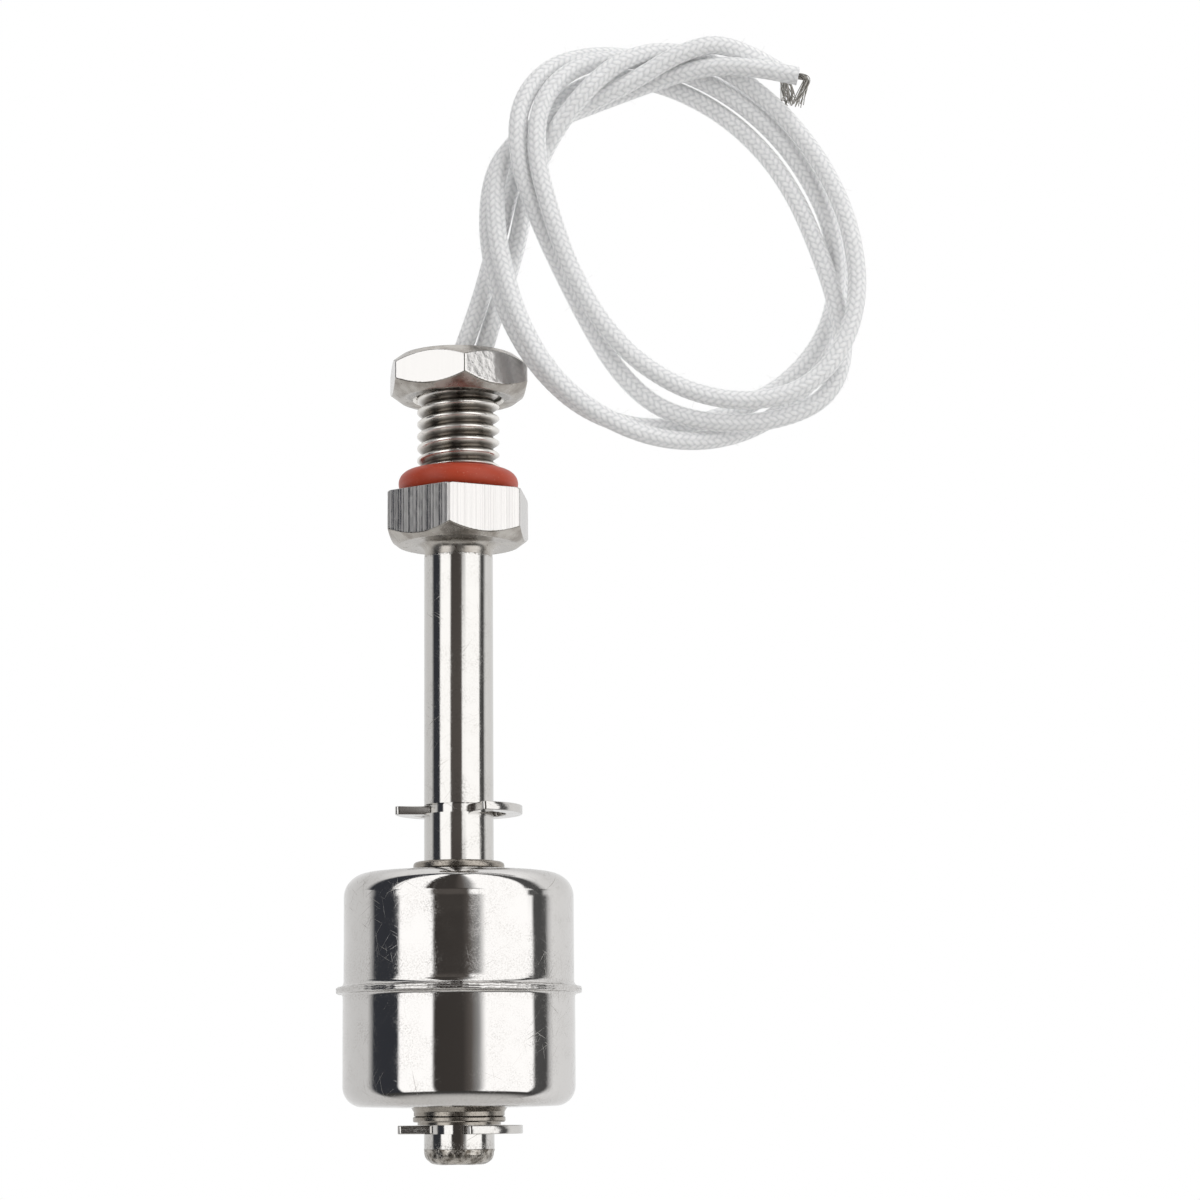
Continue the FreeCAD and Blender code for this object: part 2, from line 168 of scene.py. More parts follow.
# runs a Geometry Nodes tree on an object and hands back the result as a plain mesh
def runTree(obj, tree, values):
    modifier = obj.modifiers.new("shape", "NODES")
    modifier.node_group = tree
    for item in tree.interface.items_tree:
        if item.in_out == "INPUT" and item.name in values:
            modifier[item.identifier] = values[item.name]
    mesh = evaluatedMesh(obj)
    obj.modifiers.remove(modifier)
    return mesh


# metals

metals = {
    "drawnHex": "#c6c4c1",
    "pressedHex": "#c8c6c4",
    "pickledHex": "#979189",
    "milledHex": "#c6c4c2",
    "turnedHex": "#bab6b0",
    "turnedShadeHex": "#8d8780",
    "threadHex": "#e6e3de",
    # painted shade: the dark tone of the thread's roots
    "threadRootShadeHex": "#5b544c",
    "springHex": "#c3c1be",
    "weldHex": "#b3aea7",
    "weldShadeHex": "#5f5951",
    "sootHex": "#6f675d",
    "markDepth": 0.002,
    "lineDepth": 0.0055,
    "weldDepth": 0.034,
}


# angle about Z and height, both as millimetres on the skin, so that marks follow a turned surface
def skinPlace(tree, radius):
    place = addNode(tree, "ShaderNodeTexCoord").outputs["Object"]
    split = addNode(tree, "ShaderNodeSeparateXYZ", None, {"Vector": place}).outputs
    angle = addNode(tree, "ShaderNodeMath", {"operation": "ARCTAN2"}, {0: split[1], 1: split[0]})
    across = addNode(tree, "ShaderNodeMath", {"operation": "MULTIPLY"}, {0: angle, 1: radius})
    up = addNode(tree, "ShaderNodeMath", {"operation": "MULTIPLY"}, {0: split[2], 1: 1 / mm})
    flat = addNode(tree, "ShaderNodeCombineXYZ", None, {"X": across, "Y": up})
    return place, flat, up


# Thin straight scratches in one direction: a stretched noise of which only the crest shows.
# Thickness and length are in mm; real hairlines are finer, these are as coarse as shows.
def scratchesIn(tree, flat, turn, thickness, length, share):
    turned = addNode(tree, "ShaderNodeMapping", {"vector_type": "TEXTURE"}, {
        "Vector": flat, "Rotation": (0, 0, math.radians(turn)), "Scale": (thickness, length, 1)})
    grain = addNode(tree, "ShaderNodeTexNoise", {"noise_dimensions": "2D"}, {
        "Vector": turned, "Scale": 0.35, "Detail": 1.0})
    return addNode(tree, "ShaderNodeMapRange", None, {
        "Value": grain, "From Min": share, "From Max": share + 0.04})


# Pressed, drawn or sprung stainless: polished, so it mirrors the room, with hairline scratches and
# die lines. Handling and welding leave it dull and speckled in clouds 2 mm wide and in the given
# zones (height, half width, strength). Specks are 0.2 mm, coarser than real ones, so that they show.
def brightStainless(name, colour, radius, roughness, streaks, speckles, scratchShare, dullZones):
    material, tree = newMaterial(name)
    place, flat, up = skinPlace(tree, radius)
    dull = 0.0
    for middle, width, strength in dullZones:
        offset = addNode(tree, "ShaderNodeMath", {"operation": "SUBTRACT"}, {0: up, 1: middle})
        away = addNode(tree, "ShaderNodeMath", {"operation": "ABSOLUTE"}, {0: offset})
        near = addNode(tree, "ShaderNodeMapRange", {"interpolation_type": "SMOOTHSTEP"}, {
            "Value": away, "From Min": 0.0, "From Max": width, "To Min": strength, "To Max": 0.0})
        dull = addNode(tree, "ShaderNodeMath", {"operation": "MAXIMUM"}, {0: near, 1: dull})
    speck = addNode(tree, "ShaderNodeTexNoise", None, {
        "Vector": place, "Scale": 5.2 / mm, "Detail": 2.0, "Roughness": 0.6})
    cloud = addNode(tree, "ShaderNodeTexNoise", None, {"Vector": place, "Scale": 0.42 / mm, "Detail": 4.0})
    patchy = addNode(tree, "ShaderNodeMapRange", None, {
        "Value": cloud, "From Min": 0.4, "From Max": 0.72, "To Min": 0.0, "To Max": 0.32})
    specks = addNode(tree, "ShaderNodeMapRange", None, {"Value": speck, "From Min": 0.44, "From Max": 0.68})
    worn = addNode(tree, "ShaderNodeMath", {"operation": "MAXIMUM"}, {0: patchy, 1: dull})
    speckled = addNode(tree, "ShaderNodeMath", {"operation": "MULTIPLY"}, {0: specks, 1: worn})
    dieLines = addNode(tree, "ShaderNodeMapping", None, {"Vector": flat, "Scale": (9.0, 0.25, 1)})
    streak = addNode(tree, "ShaderNodeTexNoise", {"noise_dimensions": "2D"}, {
        "Vector": dieLines, "Scale": 1.0, "Detail": 5.0, "Roughness": 0.65})
    marks = 0.0
    for turn, thickness, length in ((12, 0.045, 2.6), (-38, 0.04, 1.9), (64, 0.045, 1.5), (118, 0.04, 2.2)):
        scratches = scratchesIn(tree, flat, turn, thickness, length, scratchShare)
        marks = addNode(tree, "ShaderNodeMath", {"operation": "MAXIMUM"}, {0: scratches, 1: marks})
    handling = addNode(tree, "ShaderNodeTexNoise", None, {"Vector": place, "Scale": 0.11 / mm, "Detail": 1.0})
    handled = addNode(tree, "ShaderNodeMapRange", None, {
        "Value": handling, "From Min": 0.42, "From Max": 0.55})
    marks = addNode(tree, "ShaderNodeMath", {"operation": "MULTIPLY"}, {0: marks, 1: handled})
    sums = {}
    for use, start, parts in (
            ("rough", roughness, ((speckled, 0.55), (marks, 0.3))),
            ("height", 0.0, ((streak, streaks), (speckled, speckles), (marks, -0.8))),
            ("shade", 0.0, ((speckled, 0.75), (marks, 0.45)))):
        sums[use] = start
        for part, share in parts:
            sums[use] = addNode(tree, "ShaderNodeMath", {"operation": "MULTIPLY_ADD"}, {
                0: part, 1: share, 2: sums[use]})
    bump = addNode(tree, "ShaderNodeBump", None, {
        "Height": sums["height"], "Distance": metals["markDepth"] * mm, "Strength": 1.0})
    tone = addNode(tree, "ShaderNodeMix", {"data_type": "RGBA"}, {
        "Factor": sums["shade"], "A": hexColour(colour), "B": hexColour(metals["sootHex"])}).outputs[2]
    finishMaterial(tree, {"Metallic": 1.0, "Base Color": tone, "Roughness": sums["rough"], "Normal": bump})
    return material


# The stem's drawn tube: straight die lines along it, dull at the weld seam and near the tip
drawnStainless = brightStainless(
    "drawnStainless", metals["drawnHex"], radius=4.15, roughness=0.08, streaks=0.15, speckles=1.5,
    scratchShare=0.77, dullZones=((-7.6, 0.35, 1.0), (-78.0, 1.2, 0.55)))
# The float's shells: polished, dull beside the welded lip and on the pressed shoulders
pressedStainless = brightStainless(
    "pressedStainless", metals["pressedHex"], radius=13.7, roughness=0.055, streaks=0.05, speckles=1.3,
    scratchShare=0.752,
    dullZones=((-59.6, 2.2, 0.5), (-57.2, 3.6, 0.26), (-45.5, 0.9, 0.85), (-73.2, 1.7, 0.32)))
# The core tube's collars: pickled after welding, so speckled all over
pickledStainless = brightStainless(
    "pickledStainless", metals["pickledHex"], radius=5.3, roughness=0.2, streaks=0.3, speckles=1.6,
    scratchShare=0.78, dullZones=((-44.7, 1.0, 0.45), (-74.2, 1.6, 0.35)))
# The clips are stamped from spring strip and only tumbled
springStainless = brightStainless(
    "springStainless", metals["springHex"], radius=7.0, roughness=0.12, streaks=0.2, speckles=1.6,
    scratchShare=0.77, dullZones=())


# Stainless cut in the lathe: fine rings 0.1 mm apart on flat faces and cones, a few pits; the darker tone
# comes in clouds, or below a given radius, as painted shade in the roots of a thread
def turnedStainless(name, darkHex, lightHex, roughness, ringDepth, stainedBelow=None):
    material, tree = newMaterial(name)
    place = addNode(tree, "ShaderNodeTexCoord").outputs["Object"]
    split = addNode(tree, "ShaderNodeSeparateXYZ", None, {"Vector": place}).outputs
    level = addNode(tree, "ShaderNodeCombineXYZ", None, {"X": split[0], "Y": split[1]})
    radius = addNode(tree, "ShaderNodeVectorMath", {"operation": "LENGTH"}, {0: level}).outputs["Value"]
    outAndUp = addNode(tree, "ShaderNodeMath", {"operation": "ADD"}, {0: radius, 1: split[2]})
    travel = addNode(tree, "ShaderNodeMath", {"operation": "MULTIPLY"}, {0: outAndUp, 1: 9.0 / mm})
    rings = addNode(tree, "ShaderNodeTexNoise", {"noise_dimensions": "1D"}, {
        "W": travel, "Scale": 1.0, "Detail": 4.0})
    grain = addNode(tree, "ShaderNodeTexNoise", None, {"Vector": place, "Scale": 3.5 / mm, "Detail": 3.0})
    cloud = addNode(tree, "ShaderNodeTexNoise", None, {"Vector": place, "Scale": 0.5 / mm, "Detail": 3.0})
    clean = addNode(tree, "ShaderNodeMapRange", None, {"Value": cloud, "From Min": 0.35, "From Max": 0.65})
    # painted shade: below this radius, with a ragged edge, the thread's roots take the dark tone
    if stainedBelow:
        ragged = addNode(tree, "ShaderNodeMath", {"operation": "MULTIPLY_ADD"}, {
            0: cloud, 1: 0.25 * mm, 2: radius})
        clean = addNode(tree, "ShaderNodeMapRange", None, {
            "Value": ragged, "From Min": (stainedBelow - 0.3) * mm, "From Max": (stainedBelow + 0.35) * mm})
    tone = addNode(tree, "ShaderNodeMix", {"data_type": "RGBA"}, {
        "Factor": clean, "A": hexColour(darkHex), "B": hexColour(lightHex)}).outputs[2]
    pits = addNode(tree, "ShaderNodeTexVoronoi", None, {"Vector": place, "Scale": 0.9 / mm})
    pitted = addNode(tree, "ShaderNodeMapRange", None, {
        "Value": pits, "From Min": 0.1, "From Max": 0.16, "To Min": 1.0, "To Max": 0.0})
    worn = addNode(tree, "ShaderNodeMapRange", None, {
        "Value": cloud, "From Min": 0.35, "From Max": 0.7, "To Min": roughness * 0.7,
        "To Max": roughness * 1.5})
    rough = addNode(tree, "ShaderNodeMath", {"operation": "MULTIPLY_ADD"}, {0: pitted, 1: 0.3, 2: worn})
    height = rings
    for part, share in ((grain, 0.6), (pitted, -0.8)):
        height = addNode(tree, "ShaderNodeMath", {"operation": "MULTIPLY_ADD"}, {
            0: part, 1: share, 2: height})
    bump = addNode(tree, "ShaderNodeBump", None, {
        "Height": height, "Distance": ringDepth * mm, "Strength": 1.0})
    finishMaterial(tree, {"Metallic": 1.0, "Base Color": tone, "Roughness": rough, "Normal": bump})
    return material


turnedSteel = turnedStainless(
    "turnedStainless", metals["turnedShadeHex"], metals["turnedHex"], roughness=0.24, ringDepth=0.005)
# the rolled thread's dark tone is painted shade in its roots
threadSteel = turnedStainless(
    "rolledThread", metals["threadRootShadeHex"], metals["threadHex"], roughness=0.29, ringDepth=0.003,
    stainedBelow=4.66)


# Wrench flats as drawn hexagon bar leaves them: lines 0.2 mm apart along the bar, rubbed bright
# between; the nut has been tumbled, so its lines are fainter and small dents show
def barStainless(name, lines, dents):
    material, tree = newMaterial(name)
    place = addNode(tree, "ShaderNodeTexCoord").outputs["Object"]
    finePlace = addNode(tree, "ShaderNodeMapping", None, {
        "Vector": place, "Scale": (5.2 / mm, 5.2 / mm, 0.022 / mm)})
    fine = addNode(tree, "ShaderNodeTexNoise", None, {"Vector": finePlace, "Scale": 1.0, "Detail": 3.0})
    broadPlace = addNode(tree, "ShaderNodeMapping", None, {
        "Vector": place, "Scale": (1.5 / mm, 1.5 / mm, 0.016 / mm)})
    broad = addNode(tree, "ShaderNodeTexNoise", None, {"Vector": broadPlace, "Scale": 1.0, "Detail": 2.0})
    dent = addNode(tree, "ShaderNodeTexNoise", None, {"Vector": place, "Scale": 2.2 / mm, "Detail": 2.0})
    drawn = addNode(tree, "ShaderNodeMath", {"operation": "MULTIPLY_ADD"}, {0: broad, 1: 0.9, 2: fine})
    faint = addNode(tree, "ShaderNodeMath", {"operation": "MULTIPLY"}, {0: drawn, 1: lines})
    height = addNode(tree, "ShaderNodeMath", {"operation": "MULTIPLY_ADD"}, {0: dent, 1: dents, 2: faint})
    bump = addNode(tree, "ShaderNodeBump", None, {
        "Height": height, "Distance": metals["lineDepth"] * mm, "Strength": 1.0})
    rough = addNode(tree, "ShaderNodeMapRange", None, {
        "Value": fine, "From Min": 0.35, "From Max": 0.65, "To Min": 0.14, "To Max": 0.14 + 0.28 * lines})
    finishMaterial(tree, {
        "Metallic": 1.0, "Base Color": hexColour(metals["milledHex"]), "Roughness": rough, "Normal": bump})
    return material


hexagonBar = barStainless("drawnHexagonBar", lines=1.0, dents=0.6)
tumbledBar = barStainless("tumbledHexagonBar", lines=0.22, dents=3.2)


# Weld dressed with a file: lumps of 0.7 mm, fine file grain, dark in the hollows
def dressedWeld(name):
    material, tree = newMaterial(name)
    place = addNode(tree, "ShaderNodeTexCoord").outputs["Object"]
    lumps = addNode(tree, "ShaderNodeTexNoise", None, {"Vector": place, "Scale": 1.5 / mm, "Detail": 4.0})
    grain = addNode(tree, "ShaderNodeTexNoise", None, {"Vector": place, "Scale": 6.5 / mm, "Detail": 2.0})
    raised = addNode(tree, "ShaderNodeMapRange", None, {"Value": lumps, "From Min": 0.38, "From Max": 0.62})
    tone = addNode(tree, "ShaderNodeMix", {"data_type": "RGBA"}, {
        "Factor": raised, "A": hexColour(metals["weldShadeHex"]),
        "B": hexColour(metals["weldHex"])}).outputs[2]
    rough = addNode(tree, "ShaderNodeMapRange", None, {
        "Value": grain, "From Min": 0.35, "From Max": 0.65, "To Min": 0.14, "To Max": 0.42})
    height = addNode(tree, "ShaderNodeMath", {"operation": "MULTIPLY_ADD"}, {0: grain, 1: 0.25, 2: lumps})
    bump = addNode(tree, "ShaderNodeBump", None, {
        "Height": height, "Distance": metals["weldDepth"] * mm, "Strength": 1.0})
    finishMaterial(tree, {"Metallic": 1.0, "Base Color": tone, "Roughness": rough, "Normal": bump})
    return material


weldSteel = dressedWeld("dressedWeld")

# other materials

silicone = {"darkHex": "#a63921", "lightHex": "#bb492e", "dustHex": "#e2a68f", "dustHeight": 0.004}


# Moulded silicone: satin, slightly cloudy, with fine dust that clings to it
def mouldedSilicone(name):
    material, tree = newMaterial(name)
    place = addNode(tree, "ShaderNodeTexCoord").outputs["Object"]
    cloud = addNode(tree, "ShaderNodeTexNoise", None, {"Vector": place, "Scale": 0.35 / mm, "Detail": 3.0})
    dust = addNode(tree, "ShaderNodeTexNoise", None, {"Vector": place, "Scale": 5.2 / mm, "Detail": 1.0})
    body = addNode(tree, "ShaderNodeMix", {"data_type": "RGBA"}, {
        "Factor": cloud, "A": hexColour(silicone["darkHex"]),
        "B": hexColour(silicone["lightHex"])}).outputs[2]
    dusty = addNode(tree, "ShaderNodeMapRange", None, {
        "Value": dust, "From Min": 0.7, "From Max": 0.76, "To Min": 0.0, "To Max": 0.5})
    tone = addNode(tree, "ShaderNodeMix", {"data_type": "RGBA"}, {
        "Factor": dusty, "A": body, "B": hexColour(silicone["dustHex"])}).outputs[2]
    bump = addNode(tree, "ShaderNodeBump", None, {"Height": dust, "Distance": silicone["dustHeight"] * mm})
    finishMaterial(tree, {"Base Color": tone, "Roughness": 0.42, "Specular IOR Level": 0.35, "Normal": bump})
    return material


# Plain hidden materials: two tones of one colour in a cloud with so many waves to the millimetre
def cloudyMaterial(name, darkHex, lightHex, perMm, sockets):
    material, tree = newMaterial(name)
    place = addNode(tree, "ShaderNodeTexCoord").outputs["Object"]
    cloud = addNode(tree, "ShaderNodeTexNoise", None, {"Vector": place, "Scale": perMm / mm, "Detail": 4.0})
    tone = addNode(tree, "ShaderNodeMix", {"data_type": "RGBA"}, {
        "Factor": cloud, "A": hexColour(darkHex), "B": hexColour(lightHex)}).outputs[2]
    bump = addNode(tree, "ShaderNodeBump", None, {"Height": cloud, "Distance": 0.01 * mm})
    finishMaterial(tree, dict(sockets, **{"Base Color": tone, "Normal": bump}))
    return material


rubber = mouldedSilicone("mouldedSilicone")
ferrite = cloudyMaterial("sinteredFerrite", "#2a2a2c", "#3c3c40", 1.8, {"Roughness": 0.7})
glass = cloudyMaterial("capsuleGlass", "#bfe0cc", "#d4eedd", 0.3, {
    "Roughness": 0.03, "Transmission Weight": 0.95})
nickelIron = cloudyMaterial("nickelIronReed", "#a7a39b", "#bdb9b1", 2.5, {"Roughness": 0.28, "Metallic": 1.0})
brass = cloudyMaterial("crimpedBrass", "#b08d4a", "#c9a860", 1.5, {"Roughness": 0.3, "Metallic": 1.0})
insulation = cloudyMaterial("leadInsulation", "#d9d7d1", "#e6e4de", 0.9, {"Roughness": 0.5})
paleSleeve = cloudyMaterial("paleSleeve", "#cfcabd", "#dcd8cc", 0.9, {"Roughness": 0.45})
potting = cloudyMaterial("pottingResin", "#26262a", "#35353a", 0.7, {"Roughness": 0.25})
tinned = cloudyMaterial("tinnedCopper", "#8f8c87", "#b7b4ae", 4.0, {"Roughness": 0.24, "Metallic": 1.0})

for nodeName, material in {
        "stem_tube": drawnStainless, "float_core_tube": pickledStainless, "o_ring": rubber,
        "magnet_ring": ferrite, "reed_glass": glass, "upper_reed": nickelIron, "lower_reed": nickelIron,
        "upper_splice": brass, "lower_splice": brass, "inner_lead_a": insulation,
        "inner_lead_b": insulation, "insulating_tube": paleSleeve, "potting_plug": potting}.items():
    for place in nodes[nodeName].material_slots:
        place.material = material
print("materials made")

# threaded fitting

fitting = {
    "acrossFlats": 16.0,
    "cornerAngle": 25.5,
    "bottom": -6.1,
    "top": 0.0,
    "coneAngle": 37.0,
    "lowerCircle": 7.34,
    "upperCircle": 9.0,
    "edgeSoftness": 0.035,
    "neckRadius": 4.1,
    "neckBottom": -7.6,
    "neckFillet": 1.1,
    "faceInset": 0.3,
    "boreRadius": 3.25,
    "wobble": 0.012,
    "segments": 432,
    "rowStep": 0.09,
}

# M10 x 1.5, right-hand; shares are of the pitch
thread = {
    "pitch": 1.5,
    "crest": 5.0,
    "depth": 0.76,
    "crestShare": 0.05,
    "flankShare": 0.38,
    "straightness": 0.45,
    "crestAt": 9.56,
    "runOutFrom": 2.5,
    "runOutSlope": 0.9,
    "relief": 4.2,
    "bottom": -0.4,
    "top": 15.6,
    "endChamfer": 0.9,
    "mouth": 3.65,
    "mouthDepth": 0.4,
    "wobble": 0.012,
    "segments": 128,
    "rowStep": 0.06,
}


# the least of several radii with its corner softened, as on a tumbled edge
def softLeast(values, softness):
    least = min(values)
    return least - softness * math.log(sum(math.exp((least - value) / softness) for value in values))


# radius of a turned hexagon at an angle and height, and whether a wrench flat is outermost there
def hexagonRadius(size, angle, z, top):
    slope = math.tan(math.radians(size["coneAngle"]))
    flats = []
    for k in range(6):
        away = math.cos(angle - math.radians(size["cornerAngle"] + 30 + 60 * k))
        if away > 0.5:
            flats.append(size["acrossFlats"] / 2 / away)
    cones = [size["lowerCircle"] + (z - size["bottom"]) / slope, size["upperCircle"] + (top - z) / slope]
    return softLeast(flats + cones, size["edgeSoftness"]), min(flats) < min(cones)


def hexagonRings(size, top):
    rows = math.ceil((top - size["bottom"]) / size["rowStep"])
    rings, onFlat = [], []
    for i in range(rows + 1):
        z = size["bottom"] + (top - size["bottom"]) * i / rows
        ring, marks = [], []
        for k in range(size["segments"]):
            angle = 2 * math.pi * k / size["segments"]
            r, flat = hexagonRadius(size, angle, z, top)
            r += size["wobble"] * noise.noise(Vector((9 * math.cos(angle), 9 * math.sin(angle), z)) * 1.3)
            ring.append((r * math.cos(angle), r * math.sin(angle), z))
            marks.append(0 if flat else 1)
        rings.append(ring)
        onFlat.append(marks)
    return rings, onFlat


# radius of the thread: rounded crest and root with nearly straight flanks between
def threadRadius(size, angle, z):
    turn = (z - size["crestAt"]) / size["pitch"] - angle / (2 * math.pi)
    away = abs((turn + 0.5) % 1.0 - 0.5)
    t = min(max((away - size["crestShare"]) / size["flankShare"], 0.0), 1.0)
    rounded = (1 - math.cos(math.pi * t)) / 2
    straight = size["straightness"]
    return size["crest"] - size["depth"] * (straight * t + (1 - straight) * rounded)


def shrunkRing(ring, share):
    return [(x * share, y * share, z) for x, y, z in ring]


fittingMesh = bmesh.new()
hexRings, hexMarks = hexagonRings(fitting, fitting["top"])
underside = roundedLine([
    (fitting["boreRadius"], fitting["neckBottom"], 0),
    (fitting["neckRadius"], fitting["neckBottom"], 0.06),
    (fitting["neckRadius"], fitting["bottom"], fitting["neckFillet"]),
    (fitting["lowerCircle"] - fitting["faceInset"], fitting["bottom"], 0)])
lead = [plainRing(point.x, point.y, fitting["segments"]) for point in underside]
tail = [shrunkRing(hexRings[-1], 0.98),
        plainRing(fitting["boreRadius"], fitting["top"], fitting["segments"])]
skinRings(fittingMesh, lead + hexRings + tail, True,
          lambda i, k: hexMarks[i - len(lead)][k] if 0 <= i - len(lead) < len(hexMarks) - 1 else 1)

threadRings = []
threadRows = math.ceil((thread["top"] - thread["bottom"]) / thread["rowStep"])
for i in range(threadRows + 1):
    z = thread["bottom"] + (thread["top"] - thread["bottom"]) * i / threadRows
    ring = []
    for k in range(thread["segments"]):
        angle = 2 * math.pi * k / thread["segments"]
        start = thread["relief"] + max(0.0, z - thread["runOutFrom"]) * thread["runOutSlope"]
        end = thread["crest"] - thread["endChamfer"] + (thread["top"] - z)
        r = min(threadRadius(thread, angle, z), start, end)
        r += thread["wobble"] * noise.noise(Vector((6 * math.cos(angle), 6 * math.sin(angle), 2 * z)))
        ring.append((r * math.cos(angle), r * math.sin(angle), z))
    threadRings.append(ring)
threadRings += [plainRing(thread["mouth"], thread["top"], thread["segments"]),
                plainRing(fitting["boreRadius"], thread["top"] - thread["mouthDepth"], thread["segments"]),
                plainRing(fitting["boreRadius"], thread["bottom"], thread["segments"])]
skinRings(fittingMesh, threadRings, True, lambda i, k: 2)
fittingPiece = addPiece("threadedFitting", meshFrom(fittingMesh, "threadedFitting"), "switch_stem",
                        [hexagonBar, turnedSteel, threadSteel], ["threaded_fitting"])
print("fitting,", len(fittingPiece.data.polygons), "faces")

# jam nut

nut = {
    "acrossFlats": 16.0,
    "cornerAngle": -82.5,
    "bottom": 11.85,
    "height": 5.2,
    "coneAngle": 37.0,
    "lowerCircle": 7.14,
    "upperCircle": 7.14,
    "edgeSoftness": 0.035,
    "faceInset": 0.3,
    "boreRadius": 5.05,
    "mouth": 0.5,
    "threadDepth": 0.5,
    "threadInset": 0.02,
    "wall": 5.7,
    "wallOverlap": 0.05,
    "wobble": 0.012,
    "segments": 432,
    "rowStep": 0.09,
}

nutTop = nut["bottom"] + nut["height"]
nutMesh = bmesh.new()
nutRings, nutMarks = hexagonRings(nut, nutTop)
nutLead = [plainRing(nut["boreRadius"] + nut["mouth"], nut["bottom"], nut["segments"]),
           plainRing(nut["lowerCircle"] - nut["faceInset"], nut["bottom"], nut["segments"])]
nutTail = [plainRing(nut["upperCircle"] - nut["faceInset"], nutTop, nut["segments"]),
           plainRing(nut["boreRadius"] + nut["mouth"], nutTop, nut["segments"]),
           plainRing(nut["wall"], nutTop - nut["mouth"], nut["segments"]),
           plainRing(nut["wall"], nut["bottom"] + nut["mouth"], nut["segments"])]
skinRings(nutMesh, nutLead + nutRings + nutTail, True,
          lambda i, k: nutMarks[i - len(nutLead)][k] if 0 <= i - len(nutLead) < len(nutMarks) - 1 else 1)

# the nut's own thread, inside a wall that runs up just within its two faces
nutThread = dict(thread, crest=nut["boreRadius"] + nut["threadDepth"], depth=nut["threadDepth"])
threadFoot = nut["bottom"] + nut["threadInset"]
threadHead = nutTop - nut["threadInset"]
innerRings = []
innerRows = math.ceil(nut["height"] / thread["rowStep"])
for i in range(innerRows + 1):
    z = threadFoot + (threadHead - threadFoot) * i / innerRows
    edge = min(z - nut["bottom"], nutTop - z)
    ring = []
    for k in range(thread["segments"]):
        angle = 2 * math.pi * k / thread["segments"]
        r = max(threadRadius(nutThread, angle, z), nut["boreRadius"] + nut["mouth"] - edge)
        ring.append((r * math.cos(angle), r * math.sin(angle), z))
    innerRings.append(ring)
innerRings += [plainRing(nut["wall"] + nut["wallOverlap"], threadHead, thread["segments"]),
               plainRing(nut["wall"] + nut["wallOverlap"], threadFoot, thread["segments"])]
skinRings(nutMesh, innerRings, True, lambda i, k: 2)
nutPiece = addPiece("jamNut", meshFrom(nutMesh, "jamNut"), "nut",
                    [tumbledBar, turnedSteel, threadSteel], ["jam_nut"])
print("nut,", len(nutPiece.data.polygons), "faces")

# float shells

shells = {
    "equator": -59.6,
    "top": -45.65,
    "bottom": -73.35,
    "upperRadius": 13.65,
    "lowerRadius": 13.75,
    "coreRadius": 5.1,
    "faceRadius": 6.8,
    "dome": 0.2,
    "upperShoulder": 2.8,
    "lowerShoulder": 2.4,
    "lipRadius": 14.55,
    "lipHalf": 0.38,
    "lipEdge": 0.24,
    "upperFillet": 0.7,
    "lowerFillet": 0.45,
    "weldGroove": 0.18,
    "weldGrooveHalf": 0.06,
    "wall": 0.6,
    "waviness": 0.014,
    "slowWaves": 2.2,
    "quickWaves": 6.0,
    "quickShare": 0.35,
    "weldUnevenness": 0.07,
    "weldReach": 1.1,
    "weldWaves": 9.0,
    "beadRaggedness": 0.05,
    "beadWavesOut": 42.0,
    "beadWavesUp": 30.0,
    "arcSteps": 12,
    "rowStep": 0.7,
    "segments": 384,
}


# the welded lip wanders a little, and the pressed walls are not quite true; the vectors added to
# a place only pick other parts of the noise
def shellShape(angle, r, z):
    around = Vector((math.cos(angle), math.sin(angle), 0.0))
    if r > shells["upperRadius"] - 0.4:
        slow = noise.noise(around * shells["slowWaves"] + Vector((0, 0, z * 0.12)))
        quick = noise.noise(around * shells["quickWaves"] + Vector((3.0, 0, z * 0.4)))
        r += shells["waviness"] * (slow + shells["quickShare"] * quick)
    onLip = max(0.0, 1 - abs(z - shells["equator"]) / shells["weldReach"])
    z += shells["weldUnevenness"] * onLip * noise.noise(around * shells["weldWaves"])
    if r > shells["upperRadius"] + 0.35:
        out = noise.noise(around * shells["beadWavesOut"] + Vector((0, 0, 7.0)))
        up = noise.noise(around * shells["beadWavesUp"] + Vector((5.0, 0, z)))
        r += shells["beadRaggedness"] * out
        z += shells["beadRaggedness"] * up
    return r, z


lipTop = shells["equator"] + shells["lipHalf"]
lipFoot = shells["equator"] - shells["lipHalf"]
outerLine = finerLine(roundedLine([
    (shells["coreRadius"], shells["top"], 0),
    (shells["faceRadius"], shells["top"], 0),
    (shells["upperRadius"], shells["top"] - shells["dome"], shells["upperShoulder"]),
    (shells["upperRadius"], lipTop, shells["upperFillet"]),
    (shells["lipRadius"], lipTop, shells["lipEdge"]),
    (shells["lipRadius"], shells["equator"] + shells["weldGrooveHalf"], 0),
    (shells["lipRadius"] - shells["weldGroove"], shells["equator"], 0),
    (shells["lipRadius"], shells["equator"] - shells["weldGrooveHalf"], 0),
    (shells["lipRadius"], lipFoot, shells["lipEdge"]),
    (shells["lowerRadius"], lipFoot, shells["lowerFillet"]),
    (shells["lowerRadius"], shells["bottom"] + shells["dome"], shells["lowerShoulder"]),
    (shells["faceRadius"], shells["bottom"], 0),
    (shells["coreRadius"], shells["bottom"], 0)], shells["arcSteps"]), shells["rowStep"])
